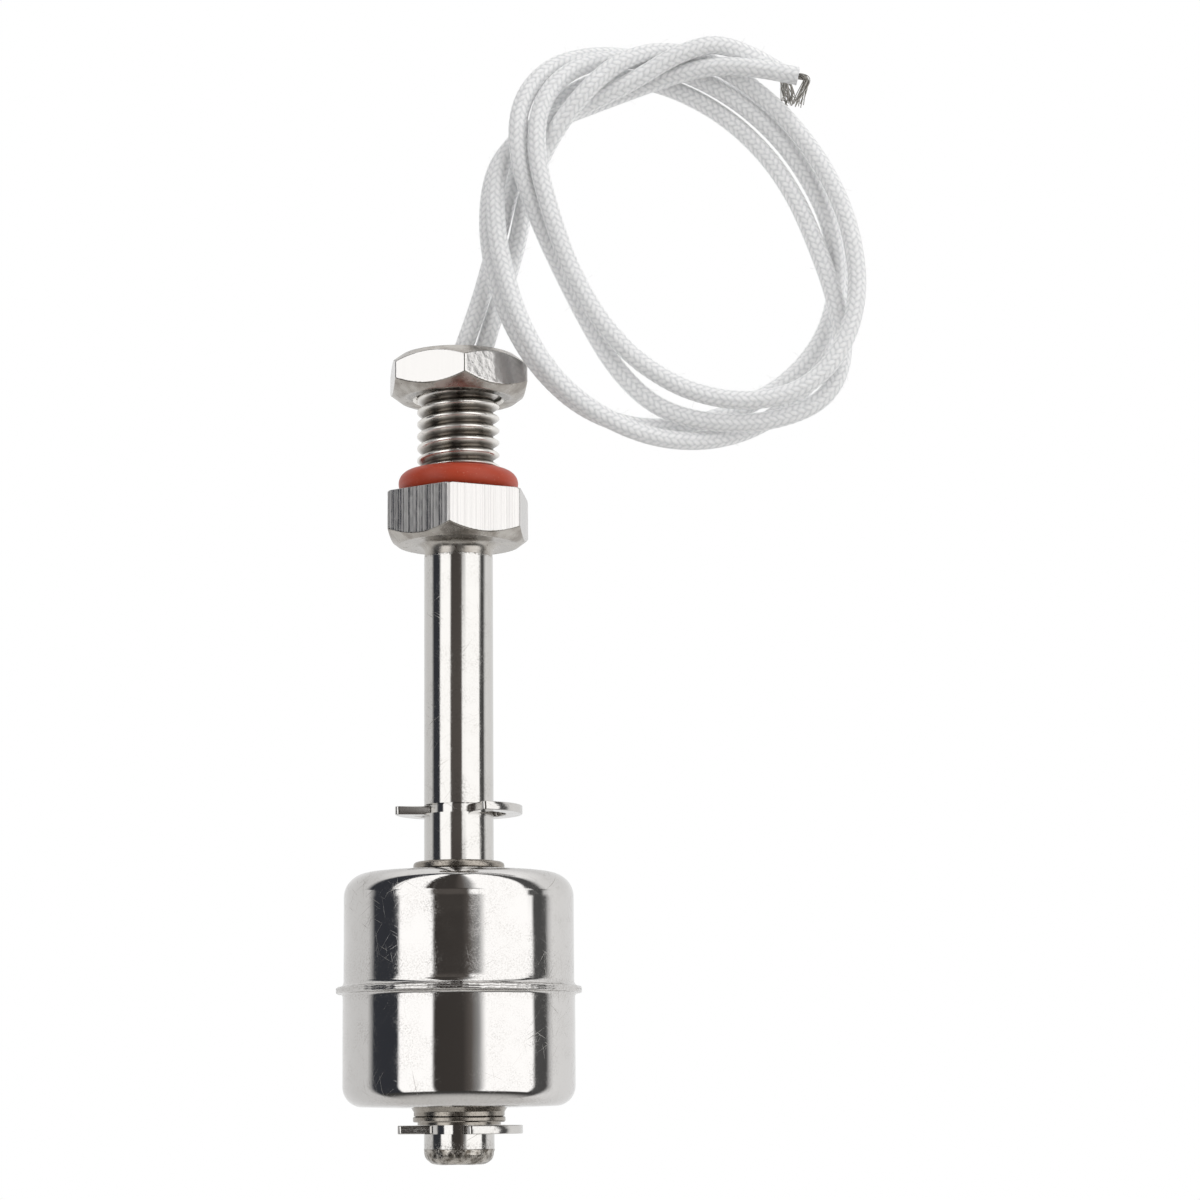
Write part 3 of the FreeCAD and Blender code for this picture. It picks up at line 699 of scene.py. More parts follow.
# the hidden inside of the walls, with plain slopes at the shoulders
innerLine = [
    Vector((shells["coreRadius"], shells["bottom"] + shells["wall"])),
    Vector((shells["upperRadius"] - 2.5, shells["bottom"] + shells["wall"] + 0.2)),
    Vector((shells["upperRadius"] - shells["wall"], shells["bottom"] + 2.6)),
    Vector((shells["upperRadius"] - shells["wall"], shells["top"] - 2.9)),
    Vector((shells["upperRadius"] - 2.7, shells["top"] - shells["wall"] - 0.3)),
    Vector((shells["coreRadius"], shells["top"] - shells["wall"]))]
shellMesh = bmesh.new()
skinRings(shellMesh, turnedRings(outerLine + innerLine, shells["segments"], shellShape))
shellPiece = addPiece("floatShells", meshFrom(shellMesh, "floatShells"), "float", [pressedStainless],
                      ["float_upper_shell", "float_lower_shell"])
print("float,", len(shellPiece.data.polygons), "faces")

# welded tip

tip = {
    "seam": -78.15,
    "bottom": -79.95,
    "radius": 4.15,
    "corner": 1.5,
    "spigotRadius": 2.65,
    "spigotTop": -76.65,
    "lumps": 0.09,
    "broadLumps": 0.9,
    "smallLumps": 2.1,
    "filedAway": 0.05,
    "filedRun": 0.4,
    "bead": 0.05,
    "beadDrop": 0.12,
    "beadHalf": 0.22,
    "beadLumps": 2.6,
    "endLumps": 0.05,
    "poleRadius": 0.3,
    "arcSteps": 12,
    "rowStep": 0.12,
    "segments": 160,
}


def tipShape(angle, r, z):
    if r < tip["spigotRadius"] + 0.1 and z > tip["bottom"] + 0.5:
        return r, z
    place = Vector((r * math.cos(angle), r * math.sin(angle), z))
    lump = noise.noise(place * tip["broadLumps"]) + 0.5 * noise.noise(place * tip["smallLumps"])
    depth = min(1.0, max(0.0, (tip["seam"] - z) / tip["filedRun"]))
    onSeam = max(0.0, 1 - abs(z - tip["seam"] + tip["beadDrop"]) / tip["beadHalf"])
    r += (tip["lumps"] * lump - tip["filedAway"]) * depth
    r += tip["bead"] * onSeam * (0.4 + noise.noise(place * tip["beadLumps"]))
    if z < tip["bottom"] + 0.3:
        z += tip["endLumps"] * lump
    return r, z


tipLine = finerLine(roundedLine([
    (tip["poleRadius"], tip["spigotTop"], 0),
    (tip["spigotRadius"], tip["spigotTop"], 0),
    (tip["spigotRadius"], tip["seam"], 0),
    (tip["radius"], tip["seam"], 0),
    (tip["radius"], tip["bottom"], tip["corner"]),
    (tip["poleRadius"], tip["bottom"], 0)], tip["arcSteps"]), tip["rowStep"])
tipMesh = bmesh.new()
skinRings(tipMesh, turnedRings(tipLine, tip["segments"], tipShape), False)
tipPiece = addPiece("weldedTip", meshFrom(tipMesh, "weldedTip"), "switch_stem", [weldSteel], ["end_plug"])
print("tip,", len(tipPiece.data.polygons), "faces")

# retaining clips, stamped from strip: the CAD solids with their edges tumbled round

clips = {"edge": 0.09, "steps": 2, "sharperThan": 30}


def tumbledCopy(pieceName, nodeName, body, material):
    source = nodes[nodeName]
    bm = bmesh.new()
    bm.from_mesh(source.data)
    bm.transform(source.matrix_world)
    bmesh.ops.remove_doubles(bm, verts=bm.verts, dist=0.002 * mm)
    bmesh.ops.dissolve_limit(bm, angle_limit=math.radians(0.6), verts=bm.verts, edges=bm.edges)
    blank = bpy.data.objects.new(pieceName + "Blank", meshFrom(bm, pieceName + "Blank"))
    bpy.context.scene.collection.objects.link(blank)
    blank.data.shade_smooth()
    bevel = blank.modifiers.new("tumbled", "BEVEL")
    bevel.width = clips["edge"] * mm
    bevel.segments = clips["steps"]
    bevel.limit_method = "ANGLE"
    bevel.angle_limit = math.radians(clips["sharperThan"])
    blank.modifiers.new("evenShading", "WEIGHTED_NORMAL")
    mesh = evaluatedMesh(blank)
    bpy.data.objects.remove(blank)
    mesh.materials.clear()
    return addPiece(pieceName, mesh, body, [material], [nodeName])


upperClip = tumbledCopy("upperClip", "upper_clip", "switch_stem", springStainless)
lowerClip = tumbledCopy("lowerClip", "lower_clip", "switch_stem", springStainless)
print("clips made")

# lead wires

# carriers are the yarns wound each way, an even number so that the weave closes round the wire;
# the lay length is how far a yarn runs along in one turn
wire = {
    "radius": 1.1,
    "step": 0.22,
    "sides": 54,
    "carriers": 10,
    "layLength": 8.8,
    "lift": 0.026,
    "crown": 0.036,
    "potting": 12.0,
}

# a real filament is about 0.01 mm thick, and the loose ones are drawn at 0.03 mm so that they show
fibre = {
    "liftShare": 0.55,
    "crownShare": 0.45,
    "filamentsPerYarn": 9.0,
    "breaksPerMm": 0.5,
    "fuzzPerMm": 2.6,
    "height": 0.055,
    # painted shade for the dips between yarns and painted highlight for their crests
    "dipShadeHex": "#e0e1e2",
    "crestHighlightHex": "#fefefe",
    "loosePerSquareMetre": 110000.0,
    "looseLength": 1.5,
    "looseRadius": 0.016,
    "looseSeed": 3,
}

# the route of each wire, in mm: loose loops that a hand wound and let go
wireRoutes = {
    "A": [
        (-0.3, -0.5, 12.0), (-0.3, -0.5, 15.6), (1.1, -0.6, 19.4), (2.9, -0.7, 24.6), (4.5, -0.6, 30.6),
        (6.3, -1.4, 37.4), (8.8, -2.6, 43.9), (13.1, -2.9, 49.4), (19.3, -1.9, 52.2), (26.2, -1.0, 51.0),
        (32.5, -1.0, 47.5), (37.5, -1.8, 42.5), (41.1, -2.7, 36.7), (43.6, -3.5, 30.3), (45.8, -4.1, 23.4),
        (47.0, -4.4, 16.3), (44.7, -4.8, 10.6), (38.4, -5.1, 7.8), (30.8, -5.3, 7.5), (24.1, -5.1, 9.4),
        (19.3, -5.0, 14.2), (15.8, -5.2, 20.3), (12.7, -5.9, 26.5), (9.8, -7.0, 32.9), (7.5, -7.8, 39.7),
        (7.6, -7.4, 46.7), (11.0, -5.3, 52.1), (16.7, -2.4, 54.7), (23.3, -0.2, 54.7), (30.1, 0.7, 52.7),
        (36.3, 0.5, 49.3), (41.6, 0.0, 44.7), (45.3, -0.1, 38.8), (47.5, 0.3, 32.1), (47.6, 1.0, 25.1),
        (45.6, 1.3, 18.4), (41.9, 0.5, 12.5), (36.9, -1.4, 8.1), (30.6, -3.5, 5.7), (23.8, -5.4, 5.7),
        (17.2, -6.6, 8.3), (11.8, -7.2, 12.7), (8.2, -7.2, 18.6), (6.0, -6.6, 25.3), (4.7, -5.9, 32.6),
        (4.9, -5.2, 39.6), (8.5, -5.0, 44.5), (14.8, -5.3, 46.8), (21.4, -6.5, 49.7), (27.4, -7.3, 53.3),
        (33.3, -6.2, 55.0), (39.3, -3.2, 52.2)],
    "B": [
        (1.85, 0.5, 12.0), (1.85, 0.5, 15.2), (3.2, 0.6, 18.5), (4.0, 0.7, 21.4), (5.4, 0.6, 25.4),
        (7.1, -0.2, 30.6), (8.5, -3.2, 36.6), (10.9, -6.5, 41.8), (14.9, -8.3, 47.3), (19.9, -7.3, 52.3),
        (26.0, -5.0, 54.4), (32.5, -3.6, 52.7), (38.3, -3.6, 48.2), (42.7, -4.3, 42.8), (46.0, -5.1, 36.7),
        (48.0, -5.9, 30.1), (48.5, -6.5, 22.9), (46.5, -7.0, 16.2), (41.8, -7.2, 11.2), (35.1, -7.3, 9.6),
        (28.0, -7.2, 10.9), (21.9, -7.3, 14.6), (17.3, -7.6, 19.6), (13.9, -8.2, 25.7), (11.6, -8.8, 32.3),
        (9.8, -8.9, 39.3), (10.0, -7.9, 46.3), (13.5, -6.1, 51.5), (19.7, -4.1, 53.8), (26.7, -2.7, 52.8),
        (33.1, -2.3, 49.7), (38.5, -2.4, 45.1), (42.6, -2.5, 39.5), (45.6, -2.2, 33.1), (46.5, -1.7, 26.2),
        (45.0, -1.3, 19.5), (40.8, -1.2, 14.0), (34.9, -1.6, 10.3), (28.2, -2.4, 7.9), (21.4, -3.5, 7.4),
        (15.0, -4.4, 9.7), (9.9, -4.9, 14.5), (6.4, -4.8, 20.5), (4.3, -4.3, 27.2), (3.6, -3.2, 34.4),
        (4.7, -1.4, 41.3), (8.9, 0.0, 46.0), (15.1, -0.8, 48.2), (21.7, -3.2, 49.9), (28.1, -5.5, 51.5),
        (34.7, -6.7, 51.9), (41.6, -6.5, 50.3)],
}


def routeCurve(name, points):
    curve = bpy.data.curves.new(name, "CURVE")
    curve.dimensions = "3D"
    curve.resolution_u = 10
    spline = curve.splines.new("NURBS")
    spline.points.add(len(points) - 1)
    for target, point in zip(spline.points, points):
        target.co = (point[0] * mm, point[1] * mm, point[2] * mm, 1.0)
    spline.order_u = 3
    spline.use_endpoint_u = True
    obj = bpy.data.objects.new(name, curve)
    bpy.context.scene.collection.objects.link(obj)
    return obj


def lineLength(points):
    return sum((points[i + 1] - points[i]).length for i in range(len(points) - 1))


# Two-over, two-under braid at a turn fraction and a distance along the wire: one set of yarns
# winds right, the other left, each rises and dips in turn, and the higher one shows
def braidField(tree, around, along, carriers, layLength, lift, crown):
    turns = addNode(tree, "ShaderNodeMath", {"operation": "DIVIDE"}, {0: along, 1: layLength})
    found = {}
    for side, operation in (("right", "ADD"), ("left", "SUBTRACT")):
        wound = addNode(tree, "ShaderNodeMath", {"operation": operation}, {0: around, 1: turns})
        phase = addNode(tree, "ShaderNodeMath", {"operation": "MULTIPLY"}, {0: wound, 1: carriers})
        found[side] = phase
        found[side + "Yarn"] = addNode(tree, "ShaderNodeMath", {"operation": "FLOOR"}, {0: phase})
        found[side + "Across"] = addNode(tree, "ShaderNodeMath", {"operation": "FRACT"}, {0: phase})
    for side, other, middle in (("right", "left", -1.0), ("left", "right", -3.0)):
        crossed = addNode(tree, "ShaderNodeMath", {"operation": "ADD"}, {
            0: found[side + "Yarn"], 1: found[other]})
        travel = addNode(tree, "ShaderNodeMath", {"operation": "ADD"}, {0: crossed, 1: middle})
        swing = addNode(tree, "ShaderNodeMath", {"operation": "MULTIPLY"}, {0: travel, 1: math.pi / 2})
        wave = addNode(tree, "ShaderNodeMath", {"operation": "COSINE"}, {0: swing})
        offset = addNode(tree, "ShaderNodeMath", {"operation": "MULTIPLY_ADD"}, {
            0: found[side + "Across"], 1: 2.0, 2: -1.0})
        fall = addNode(tree, "ShaderNodeMath", {"operation": "MULTIPLY"}, {0: offset, 1: offset})
        dome = addNode(tree, "ShaderNodeMath", {"operation": "SUBTRACT"}, {0: 1.0, 1: fall})
        domed = addNode(tree, "ShaderNodeMath", {"operation": "MULTIPLY"}, {0: dome, 1: crown})
        found[side + "Height"] = addNode(tree, "ShaderNodeMath", {"operation": "MULTIPLY_ADD"}, {
            0: wave, 1: lift, 2: domed})
    heights = {0: found["rightHeight"], 1: found["leftHeight"]}
    found["height"] = addNode(tree, "ShaderNodeMath", {"operation": "MAXIMUM"}, heights)
    found["rightOnTop"] = addNode(tree, "ShaderNodeMath", {"operation": "GREATER_THAN"}, heights)
    return found


# Glass-fibre yarn, white and dry: filaments along each yarn; the raised crests of the yarns are painted
# paler as painted highlight, and the dips between greyer as painted shade. Nine to a yarn are far fewer than
# the hundreds of a real one, so that they show
def glassFibreBraid(name):
    material, tree = newMaterial(name)
    onWire = addNode(tree, "ShaderNodeUVMap", {"uv_map": "wireMap"})
    split = addNode(tree, "ShaderNodeSeparateXYZ", None, {"Vector": onWire}).outputs
    braid = braidField(tree, split[0], split[1], float(wire["carriers"]), wire["layLength"],
                       fibre["liftShare"], fibre["crownShare"])
    yarn = addNode(tree, "ShaderNodeMix", {"data_type": "FLOAT"}, {
        "Factor": braid["rightOnTop"], "A": braid["left"], "B": braid["right"]})
    across = addNode(tree, "ShaderNodeMath", {"operation": "MULTIPLY"}, {
        0: yarn, 1: fibre["filamentsPerYarn"]})
    run = addNode(tree, "ShaderNodeMath", {"operation": "MULTIPLY"}, {0: split[1], 1: fibre["breaksPerMm"]})
    laid = addNode(tree, "ShaderNodeCombineXYZ", None, {"X": across, "Y": run})
    filaments = addNode(tree, "ShaderNodeTexNoise", {"noise_dimensions": "2D"}, {
        "Vector": laid, "Scale": 1.0, "Detail": 3.0})
    place = addNode(tree, "ShaderNodeTexCoord").outputs["Object"]
    fuzz = addNode(tree, "ShaderNodeTexNoise", None, {
        "Vector": place, "Scale": fibre["fuzzPerMm"] / mm, "Detail": 3.0})
    combed = addNode(tree, "ShaderNodeMath", {"operation": "MULTIPLY_ADD"}, {
        0: filaments, 1: 0.35, 2: braid["height"]})
    raised = addNode(tree, "ShaderNodeMath", {"operation": "MULTIPLY_ADD"}, {0: fuzz, 1: 0.9, 2: combed})
    # painted highlight and shade by height: raised yarn crests paler, dips greyer; filaments and fuzz also
    # vary the tone
    shade = addNode(tree, "ShaderNodeMapRange", None, {"Value": raised, "From Min": 0.95, "From Max": 1.6})
    tone = addNode(tree, "ShaderNodeMix", {"data_type": "RGBA"}, {
        "Factor": shade, "A": hexColour(fibre["dipShadeHex"]), "B": hexColour(fibre["crestHighlightHex"])}).outputs[2]
    bump = addNode(tree, "ShaderNodeBump", None, {
        "Height": raised, "Distance": fibre["height"] * mm, "Strength": 0.8})
    finishMaterial(tree, {
        "Base Color": tone, "Roughness": 0.55, "Sheen Weight": 0.25, "Sheen Roughness": 0.4, "Normal": bump})
    return material


fibreBraid = glassFibreBraid("glassFibreBraid")
looseFibre = cloudyMaterial("looseGlassFibre", "#e4e3e1", "#f6f5f3", 0.9, {"Roughness": 0.5})


def newTree(name, sockets, result):
    tree = bpy.data.node_groups.new(name, "GeometryNodeTree")
    for socket, kind in sockets:
        tree.interface.new_socket(socket, in_out="INPUT", socket_type="NodeSocket" + kind)
    tree.interface.new_socket(result, in_out="OUTPUT", socket_type="NodeSocketGeometry")
    return tree, addNode(tree, "NodeGroupInput").outputs


# closes a tree: real geometry, one finish, out
def finishTree(tree, geometry, finish):
    whole = addNode(tree, "GeometryNodeRealizeInstances", None, {"Geometry": geometry})
    dressed = addNode(tree, "GeometryNodeSetMaterial", None, {"Geometry": whole, "Material": finish})
    addNode(tree, "NodeGroupOutput", None, {0: dressed})


# Geometry Nodes: sweeps a round section along the wire's line, raises the yarns on it,
# and keeps turn fraction and millimetres along as the wireMap coordinates
def braidTree():
    tree, given = newTree("braidedSleeve", (
        ("Line", "Geometry"), ("Radius", "Float"), ("Step", "Float"), ("Sides", "Int"), ("Carriers", "Float"),
        ("Lay length", "Float"), ("Lift", "Float"), ("Crown", "Float"), ("Finish", "Material")), "Sleeve")
    line = addNode(tree, "GeometryNodeResampleCurve", {"mode": "LENGTH"}, {
        "Curve": given["Line"], "Length": given["Step"]})
    lineAt = addNode(tree, "GeometryNodeSplineParameter")
    lineKept = addNode(tree, "GeometryNodeCaptureAttribute", None, {"Geometry": line})
    lineKept.capture_items.new("FLOAT", "along")
    tree.links.new(lineAt.outputs["Length"], lineKept.inputs["along"])
    section = addNode(tree, "GeometryNodeCurvePrimitiveCircle", None, {
        "Resolution": given["Sides"], "Radius": given["Radius"]})
    sectionAt = addNode(tree, "GeometryNodeSplineParameter")
    sectionKept = addNode(tree, "GeometryNodeCaptureAttribute", None, {"Geometry": section})
    sectionKept.capture_items.new("FLOAT", "around")
    tree.links.new(sectionAt.outputs["Factor"], sectionKept.inputs["around"])
    tube = addNode(tree, "GeometryNodeCurveToMesh", None, {
        "Curve": lineKept, "Profile Curve": sectionKept, "Fill Caps": True})
    around = sectionKept.outputs["around"]
    along = lineKept.outputs["along"]
    braid = braidField(tree, around, along, given["Carriers"], given["Lay length"],
                       given["Lift"], given["Crown"])
    normal = addNode(tree, "GeometryNodeInputNormal")
    push = addNode(tree, "ShaderNodeVectorMath", {"operation": "SCALE"}, {
        0: normal, "Scale": braid["height"]})
    raised = addNode(tree, "GeometryNodeSetPosition", None, {"Geometry": tube, "Offset": push})
    # the section's last strip of faces runs from just under a whole turn back to zero, so its
    # zero corners are lifted to a whole turn
    faceMean = addNode(tree, "GeometryNodeFieldOnDomain", {"domain": "FACE", "data_type": "FLOAT"}, {
        0: around})
    jump = addNode(tree, "ShaderNodeMath", {"operation": "SUBTRACT"}, {0: faceMean, 1: around})
    wraps = addNode(tree, "ShaderNodeMath", {"operation": "GREATER_THAN"}, {0: jump, 1: 0.3})
    turned = addNode(tree, "ShaderNodeMath", {"operation": "ADD"}, {0: around, 1: wraps})
    run = addNode(tree, "ShaderNodeMath", {"operation": "MULTIPLY"}, {0: along, 1: 1 / mm})
    pair = addNode(tree, "ShaderNodeCombineXYZ", None, {"X": turned, "Y": run})
    mapped = addNode(tree, "GeometryNodeStoreNamedAttribute", {"data_type": "FLOAT2", "domain": "CORNER"}, {
        "Geometry": raised, "Name": "wireMap", "Value": pair})
    finishTree(tree, mapped, given["Finish"])
    return tree


# Geometry Nodes: single filaments that have worked loose and stand off the braid
def strayTree():
    tree, given = newTree("strayFilaments", (
        ("Sleeve", "Geometry"), ("Density", "Float"), ("Length", "Float"), ("Thickness", "Float"),
        ("Seed", "Int"), ("Finish", "Material")), "Filaments")
    roots = addNode(tree, "GeometryNodeDistributePointsOnFaces", None, {
        "Mesh": given["Sleeve"], "Density": given["Density"], "Seed": given["Seed"]})
    middle = addNode(tree, "ShaderNodeVectorMath", {"operation": "SCALE"}, {
        0: (0.5, 0.05, 0.12), "Scale": given["Length"]})
    end = addNode(tree, "ShaderNodeVectorMath", {"operation": "SCALE"}, {
        0: (0.9, -0.1, 0.42), "Scale": given["Length"]})
    bow = addNode(tree, "GeometryNodeCurveQuadraticBezier", None, {
        "Resolution": 6, "Start": (0, 0, 0), "Middle": middle, "End": end})
    section = addNode(tree, "GeometryNodeCurvePrimitiveCircle", None, {
        "Resolution": 3, "Radius": given["Thickness"]})
    filament = addNode(tree, "GeometryNodeCurveToMesh", None, {
        "Curve": bow, "Profile Curve": section, "Fill Caps": True})
    spin = addNode(tree, "FunctionNodeRandomValue", {"data_type": "FLOAT_VECTOR"}, {
        0: (-0.25, -0.35, 0.0), 1: (0.25, 0.25, 6.28), "Seed": given["Seed"]})
    turn = addNode(tree, "FunctionNodeEulerToRotation", None, {0: spin})
    spun = addNode(tree, "FunctionNodeRotateRotation", {"rotation_space": "LOCAL"}, {
        0: roots.outputs["Rotation"], 1: turn})
    size = addNode(tree, "FunctionNodeRandomValue", {"data_type": "FLOAT"}, {2: 0.35, 3: 1.0, "Seed": 5})
    placed = addNode(tree, "GeometryNodeInstanceOnPoints", None, {
        "Points": roots, "Instance": filament, "Rotation": spun, "Scale": size.outputs[1]})
    finishTree(tree, placed, given["Finish"])
    return tree


# bare ends

strands = {
    "radius": 0.06,
    "sides": 6,
    "twist": 0.5,
    "turnEach": 2.4,
    "straying": 0.42,
    "bending": 0.25,
    "bendWave": 3.5,
    "pointsPerRun": 7,
    "routes": {
        "A": {"count": 27, "bundle": 0.6, "flare": 0.5, "seed": 4,
              "points": [(39.0, -3.3, 52.3), (39.9, -2.9, 51.95), (40.25, -2.85, 51.1), (40.6, -3.0, 49.2),
                         (40.8, -3.1, 47.9)]},
        "B": {"count": 17, "bundle": 0.38, "flare": 0.6, "seed": 9,
              "points": [(41.2, -6.5, 50.4), (42.2, -6.48, 50.2), (42.6, -6.48, 49.6), (41.9, -6.5, 47.9),
                         (41.2, -6.5, 46.5)]},
    },
}


def smoothPoints(points, perRun):
    vectors = [Vector(point) for point in points]
    ends = [vectors[0] * 2 - vectors[1]] + vectors + [vectors[-1] * 2 - vectors[-2]]
    line = []
    for i in range(1, len(ends) - 2):
        a, b, c, d = ends[i - 1:i + 3]
        for k in range(perRun):
            t = k / perRun
            first = (c - a) * t
            second = (2 * a - 5 * b + 4 * c - d) * t * t
            third = (3 * b - a - 3 * c + d) * t ** 3
            line.append(0.5 * (2 * b + first + second + third))
    return line + [vectors[-1]]


# along a line: the point, and two directions square to it that do not twist
def frameAlong(line):
    side = Vector((0.0, 1.0, 0.0))
    for i, point in enumerate(line):
        ahead = (line[min(i + 1, len(line) - 1)] - line[max(i - 1, 0)]).normalized()
        side = (side - ahead * side.dot(ahead)).normalized()
        yield point, side, ahead.cross(side)


def strandPiece(letter):
    size = strands["routes"][letter]
    chance = random.Random(size["seed"])
    middle = smoothPoints(size["points"], strands["pointsPerRun"])
    turns = [2 * math.pi * k / strands["sides"] for k in range(strands["sides"])]
    bm = bmesh.new()
    for n in range(size["count"]):
        out = size["bundle"] * math.sqrt((n + 0.5) / size["count"])
        stray = Vector((chance.uniform(-1, 1), chance.uniform(-1, 1), chance.uniform(-0.5, 0.5)))
        stray *= strands["straying"]
        bend = chance.uniform(-strands["bending"], strands["bending"])
        reach = len(middle) - chance.randint(0, 4)
        line = []
        for i, (point, side, up) in enumerate(frameAlong(middle)):
            t = i / (len(middle) - 1)
            spin = n * strands["turnEach"] + strands["twist"] * 2 * math.pi * t
            spread = out * (1 + size["flare"] * t * t)
            line.append(point + (side * math.cos(spin) + up * math.sin(spin)) * spread
                        + stray * t * t + side * bend * math.sin(strands["bendWave"] * t) * t)
        rings = []
        for point, side, up in frameAlong(line[:reach]):
            rings.append([point + (side * math.cos(turn) + up * math.sin(turn)) * strands["radius"]
                          for turn in turns])
        skinRings(bm, rings, False)
    return addPiece("bareStrands" + letter, meshFrom(bm, "bareStrands" + letter), "switch_stem", [tinned],
                    ["bare_strands_" + letter.lower()])


sleeveTree = braidTree()
filamentTree = strayTree()
for letter, points in wireRoutes.items():
    line = routeCurve("wireLine" + letter, points)
    path = [vertex.co.copy() for vertex in evaluatedMesh(line).vertices]
    mesh = runTree(line, sleeveTree, {
        "Radius": (wire["radius"] - wire["crown"]) * mm, "Step": wire["step"] * mm, "Sides": wire["sides"],
        "Carriers": float(wire["carriers"]), "Lay length": wire["layLength"] * mm,
        "Lift": wire["lift"] * mm, "Crown": wire["crown"] * mm, "Finish": fibreBraid})
    bpy.data.objects.remove(line)
    piece = addPiece("leadWire" + letter, mesh, "switch_stem", [], ["lead_wire_" + letter.lower()])
    stray = runTree(piece, filamentTree, {
        "Density": fibre["loosePerSquareMetre"], "Length": fibre["looseLength"] * mm,
        "Thickness": fibre["looseRadius"] * mm, "Seed": fibre["looseSeed"], "Finish": looseFibre})
    fuzz = addPiece("strayFibres" + letter, stray, "switch_stem")
    bare = strandPiece(letter)
    print("wire", letter, round(lineLength(path) / mm, 1), "mm,", len(mesh.polygons), "faces,",
          len(stray.polygons), "faces of stray fibre")

# studio

studio = {
    "cameraAt": (17.0, -370.0, -73.3),
    "tilt": 8.17,
    "roll": -0.45,
    "lens": 93.24,
    "sensor": 36,
    "rise": 0.05,
    "leanFrom": 11.5,
    "leanTo": 13.0,
    "lean": 8.0,
    "overheadFrom": 35.0,
    "overheadTo": 60.0,
    "overheadGain": 0.3,
    "brightness": 1.12,
    "floorZ": -150.0,
    "floorRadius": 110.0,
    "floorFade": 0.3,
    "floorHex": "#f2f1ef",
}

world = bpy.data.worlds.new("paleStudio")
bpy.context.scene.world = world
world.use_nodes = True
sky = world.node_tree
sky.nodes.clear()
ways = addNode(sky, "ShaderNodeTexCoord").outputs["Generated"]
split = addNode(sky, "ShaderNodeSeparateXYZ", None, {"Vector": ways}).outputs
viewerward = addNode(sky, "ShaderNodeMath", {"operation": "MULTIPLY"}, {0: split[1], 1: -1.0})
azimuth = addNode(sky, "ShaderNodeMath", {"operation": "ARCTAN2"}, {0: split[0], 1: viewerward})
elevation = addNode(sky, "ShaderNodeMath", {"operation": "ARCSINE"}, {0: split[2]})
# the boxes stand a little askew: high up they are met further to the left
lean = addNode(sky, "ShaderNodeMapRange", None, {
    "Value": elevation, "From Min": math.radians(studio["leanFrom"]),
    "From Max": math.radians(studio["leanTo"]), "To Min": 0.0, "To Max": math.radians(studio["lean"])})
leaned = addNode(sky, "ShaderNodeMath", {"operation": "ADD"}, {0: azimuth, 1: lean})
share = addNode(sky, "ShaderNodeMapRange", None, {"Value": leaned, "From Min": -math.pi, "From Max": math.pi})
rise = addNode(sky, "ShaderNodeMapRange", None, {
    "Value": elevation, "From Min": -math.pi / 2, "From Max": math.pi / 2})

# what stands round the object, by degrees from the viewer's side: two soft boxes, the dark room
# behind the camera and beside the boxes, and the pale sweep behind the object
plain, bluish, brownish, warm = (1.0, 1.0, 1.0), (0.9, 0.97, 1.17), (1.12, 1.0, 0.92), (1.0, 0.98, 0.95)
around = [
    (-180, 0.80, plain), (-99, 0.80, plain), (-94, 0.45, plain), (-90, 0.05, bluish), (-60.5, 0.045, bluish),
    (-57.5, 1.55, plain), (-24.2, 1.55, plain), (-22, 0.05, brownish), (6, 0.055, brownish),
    (14, 0.12, brownish), (22, 0.38, plain), (29, 1.55, plain), (79.5, 1.55, plain), (82.5, 0.1, plain),
    (98, 0.09, plain), (103, 0.7, plain), (109, 1.0, plain), (180, 0.80, plain)]
# the same at the height that the slim stem mirrors, where the right box reaches nearer the middle
atStem = [
    (-180, 0.80, plain), (-99, 0.80, plain), (-94, 0.45, plain), (-88, 0.05, bluish), (-64.5, 0.05, bluish),
    (-61, 1.55, plain), (-27, 1.55, plain), (-23.5, 0.1, brownish), (11, 0.11, brownish), (15.5, 1.55, plain),
    (74, 1.55, plain), (77, 0.1, plain), (93, 0.09, plain), (97, 0.7, plain), (105, 1.0, plain),
    (180, 0.80, plain)]
stemHeight = [(4.1, 0.0, plain), (4.8, 1.0, plain), (8.0, 1.0, plain), (11.5, 0.0, plain)]
# what shows in front under and over the boxes, by degrees of height, and how far it covers them
upward = [
    (-90, 0.44, warm), (-62, 0.36, warm), (-50, 0.22, warm), (-44, 0.08, warm), (-33, 0.06, warm),
    (80, 0.07, warm), (86, 0.07, warm), (89, 0.7, warm)]
covered = [(-90, 1.0, plain), (-33, 1.0, plain), (-29, 0.0, plain), (80, 0.0, plain), (82, 1.0, plain)]

ramps = {}
for name, factor, low, reach, stops in (
        ("around", share, -180, 360, around), ("atStem", share, -180, 360, atStem),
        ("stemHeight", rise, -90, 180, stemHeight), ("upward", rise, -90, 180, upward),
        ("covered", rise, -90, 180, covered)):
    ramps[name] = addNode(sky, "ShaderNodeValToRGB", None, {"Fac": factor})
    elements = ramps[name].color_ramp.elements
    for i, (degrees, level, tint) in enumerate(stops):
        position = (degrees - low) / reach
        element = elements[i] if i < 2 else elements.new(position)
        element.position = position
        element.color = (*(level * part for part in tint), 1.0)

boxes = addNode(sky, "ShaderNodeMix", {"data_type": "RGBA"}, {
    "Factor": ramps["stemHeight"], "A": ramps["around"], "B": ramps["atStem"]}).outputs[2]
front = addNode(sky, "ShaderNodeMapRange", None, {"Value": split[1], "From Min": 0.1, "From Max": -0.1})
hidden = addNode(sky, "ShaderNodeMath", {"operation": "MULTIPLY"}, {0: ramps["covered"], 1: front})
seen = addNode(sky, "ShaderNodeMix", {"data_type": "RGBA"}, {
    "Factor": hidden, "A": boxes, "B": ramps["upward"]}).outputs[2]
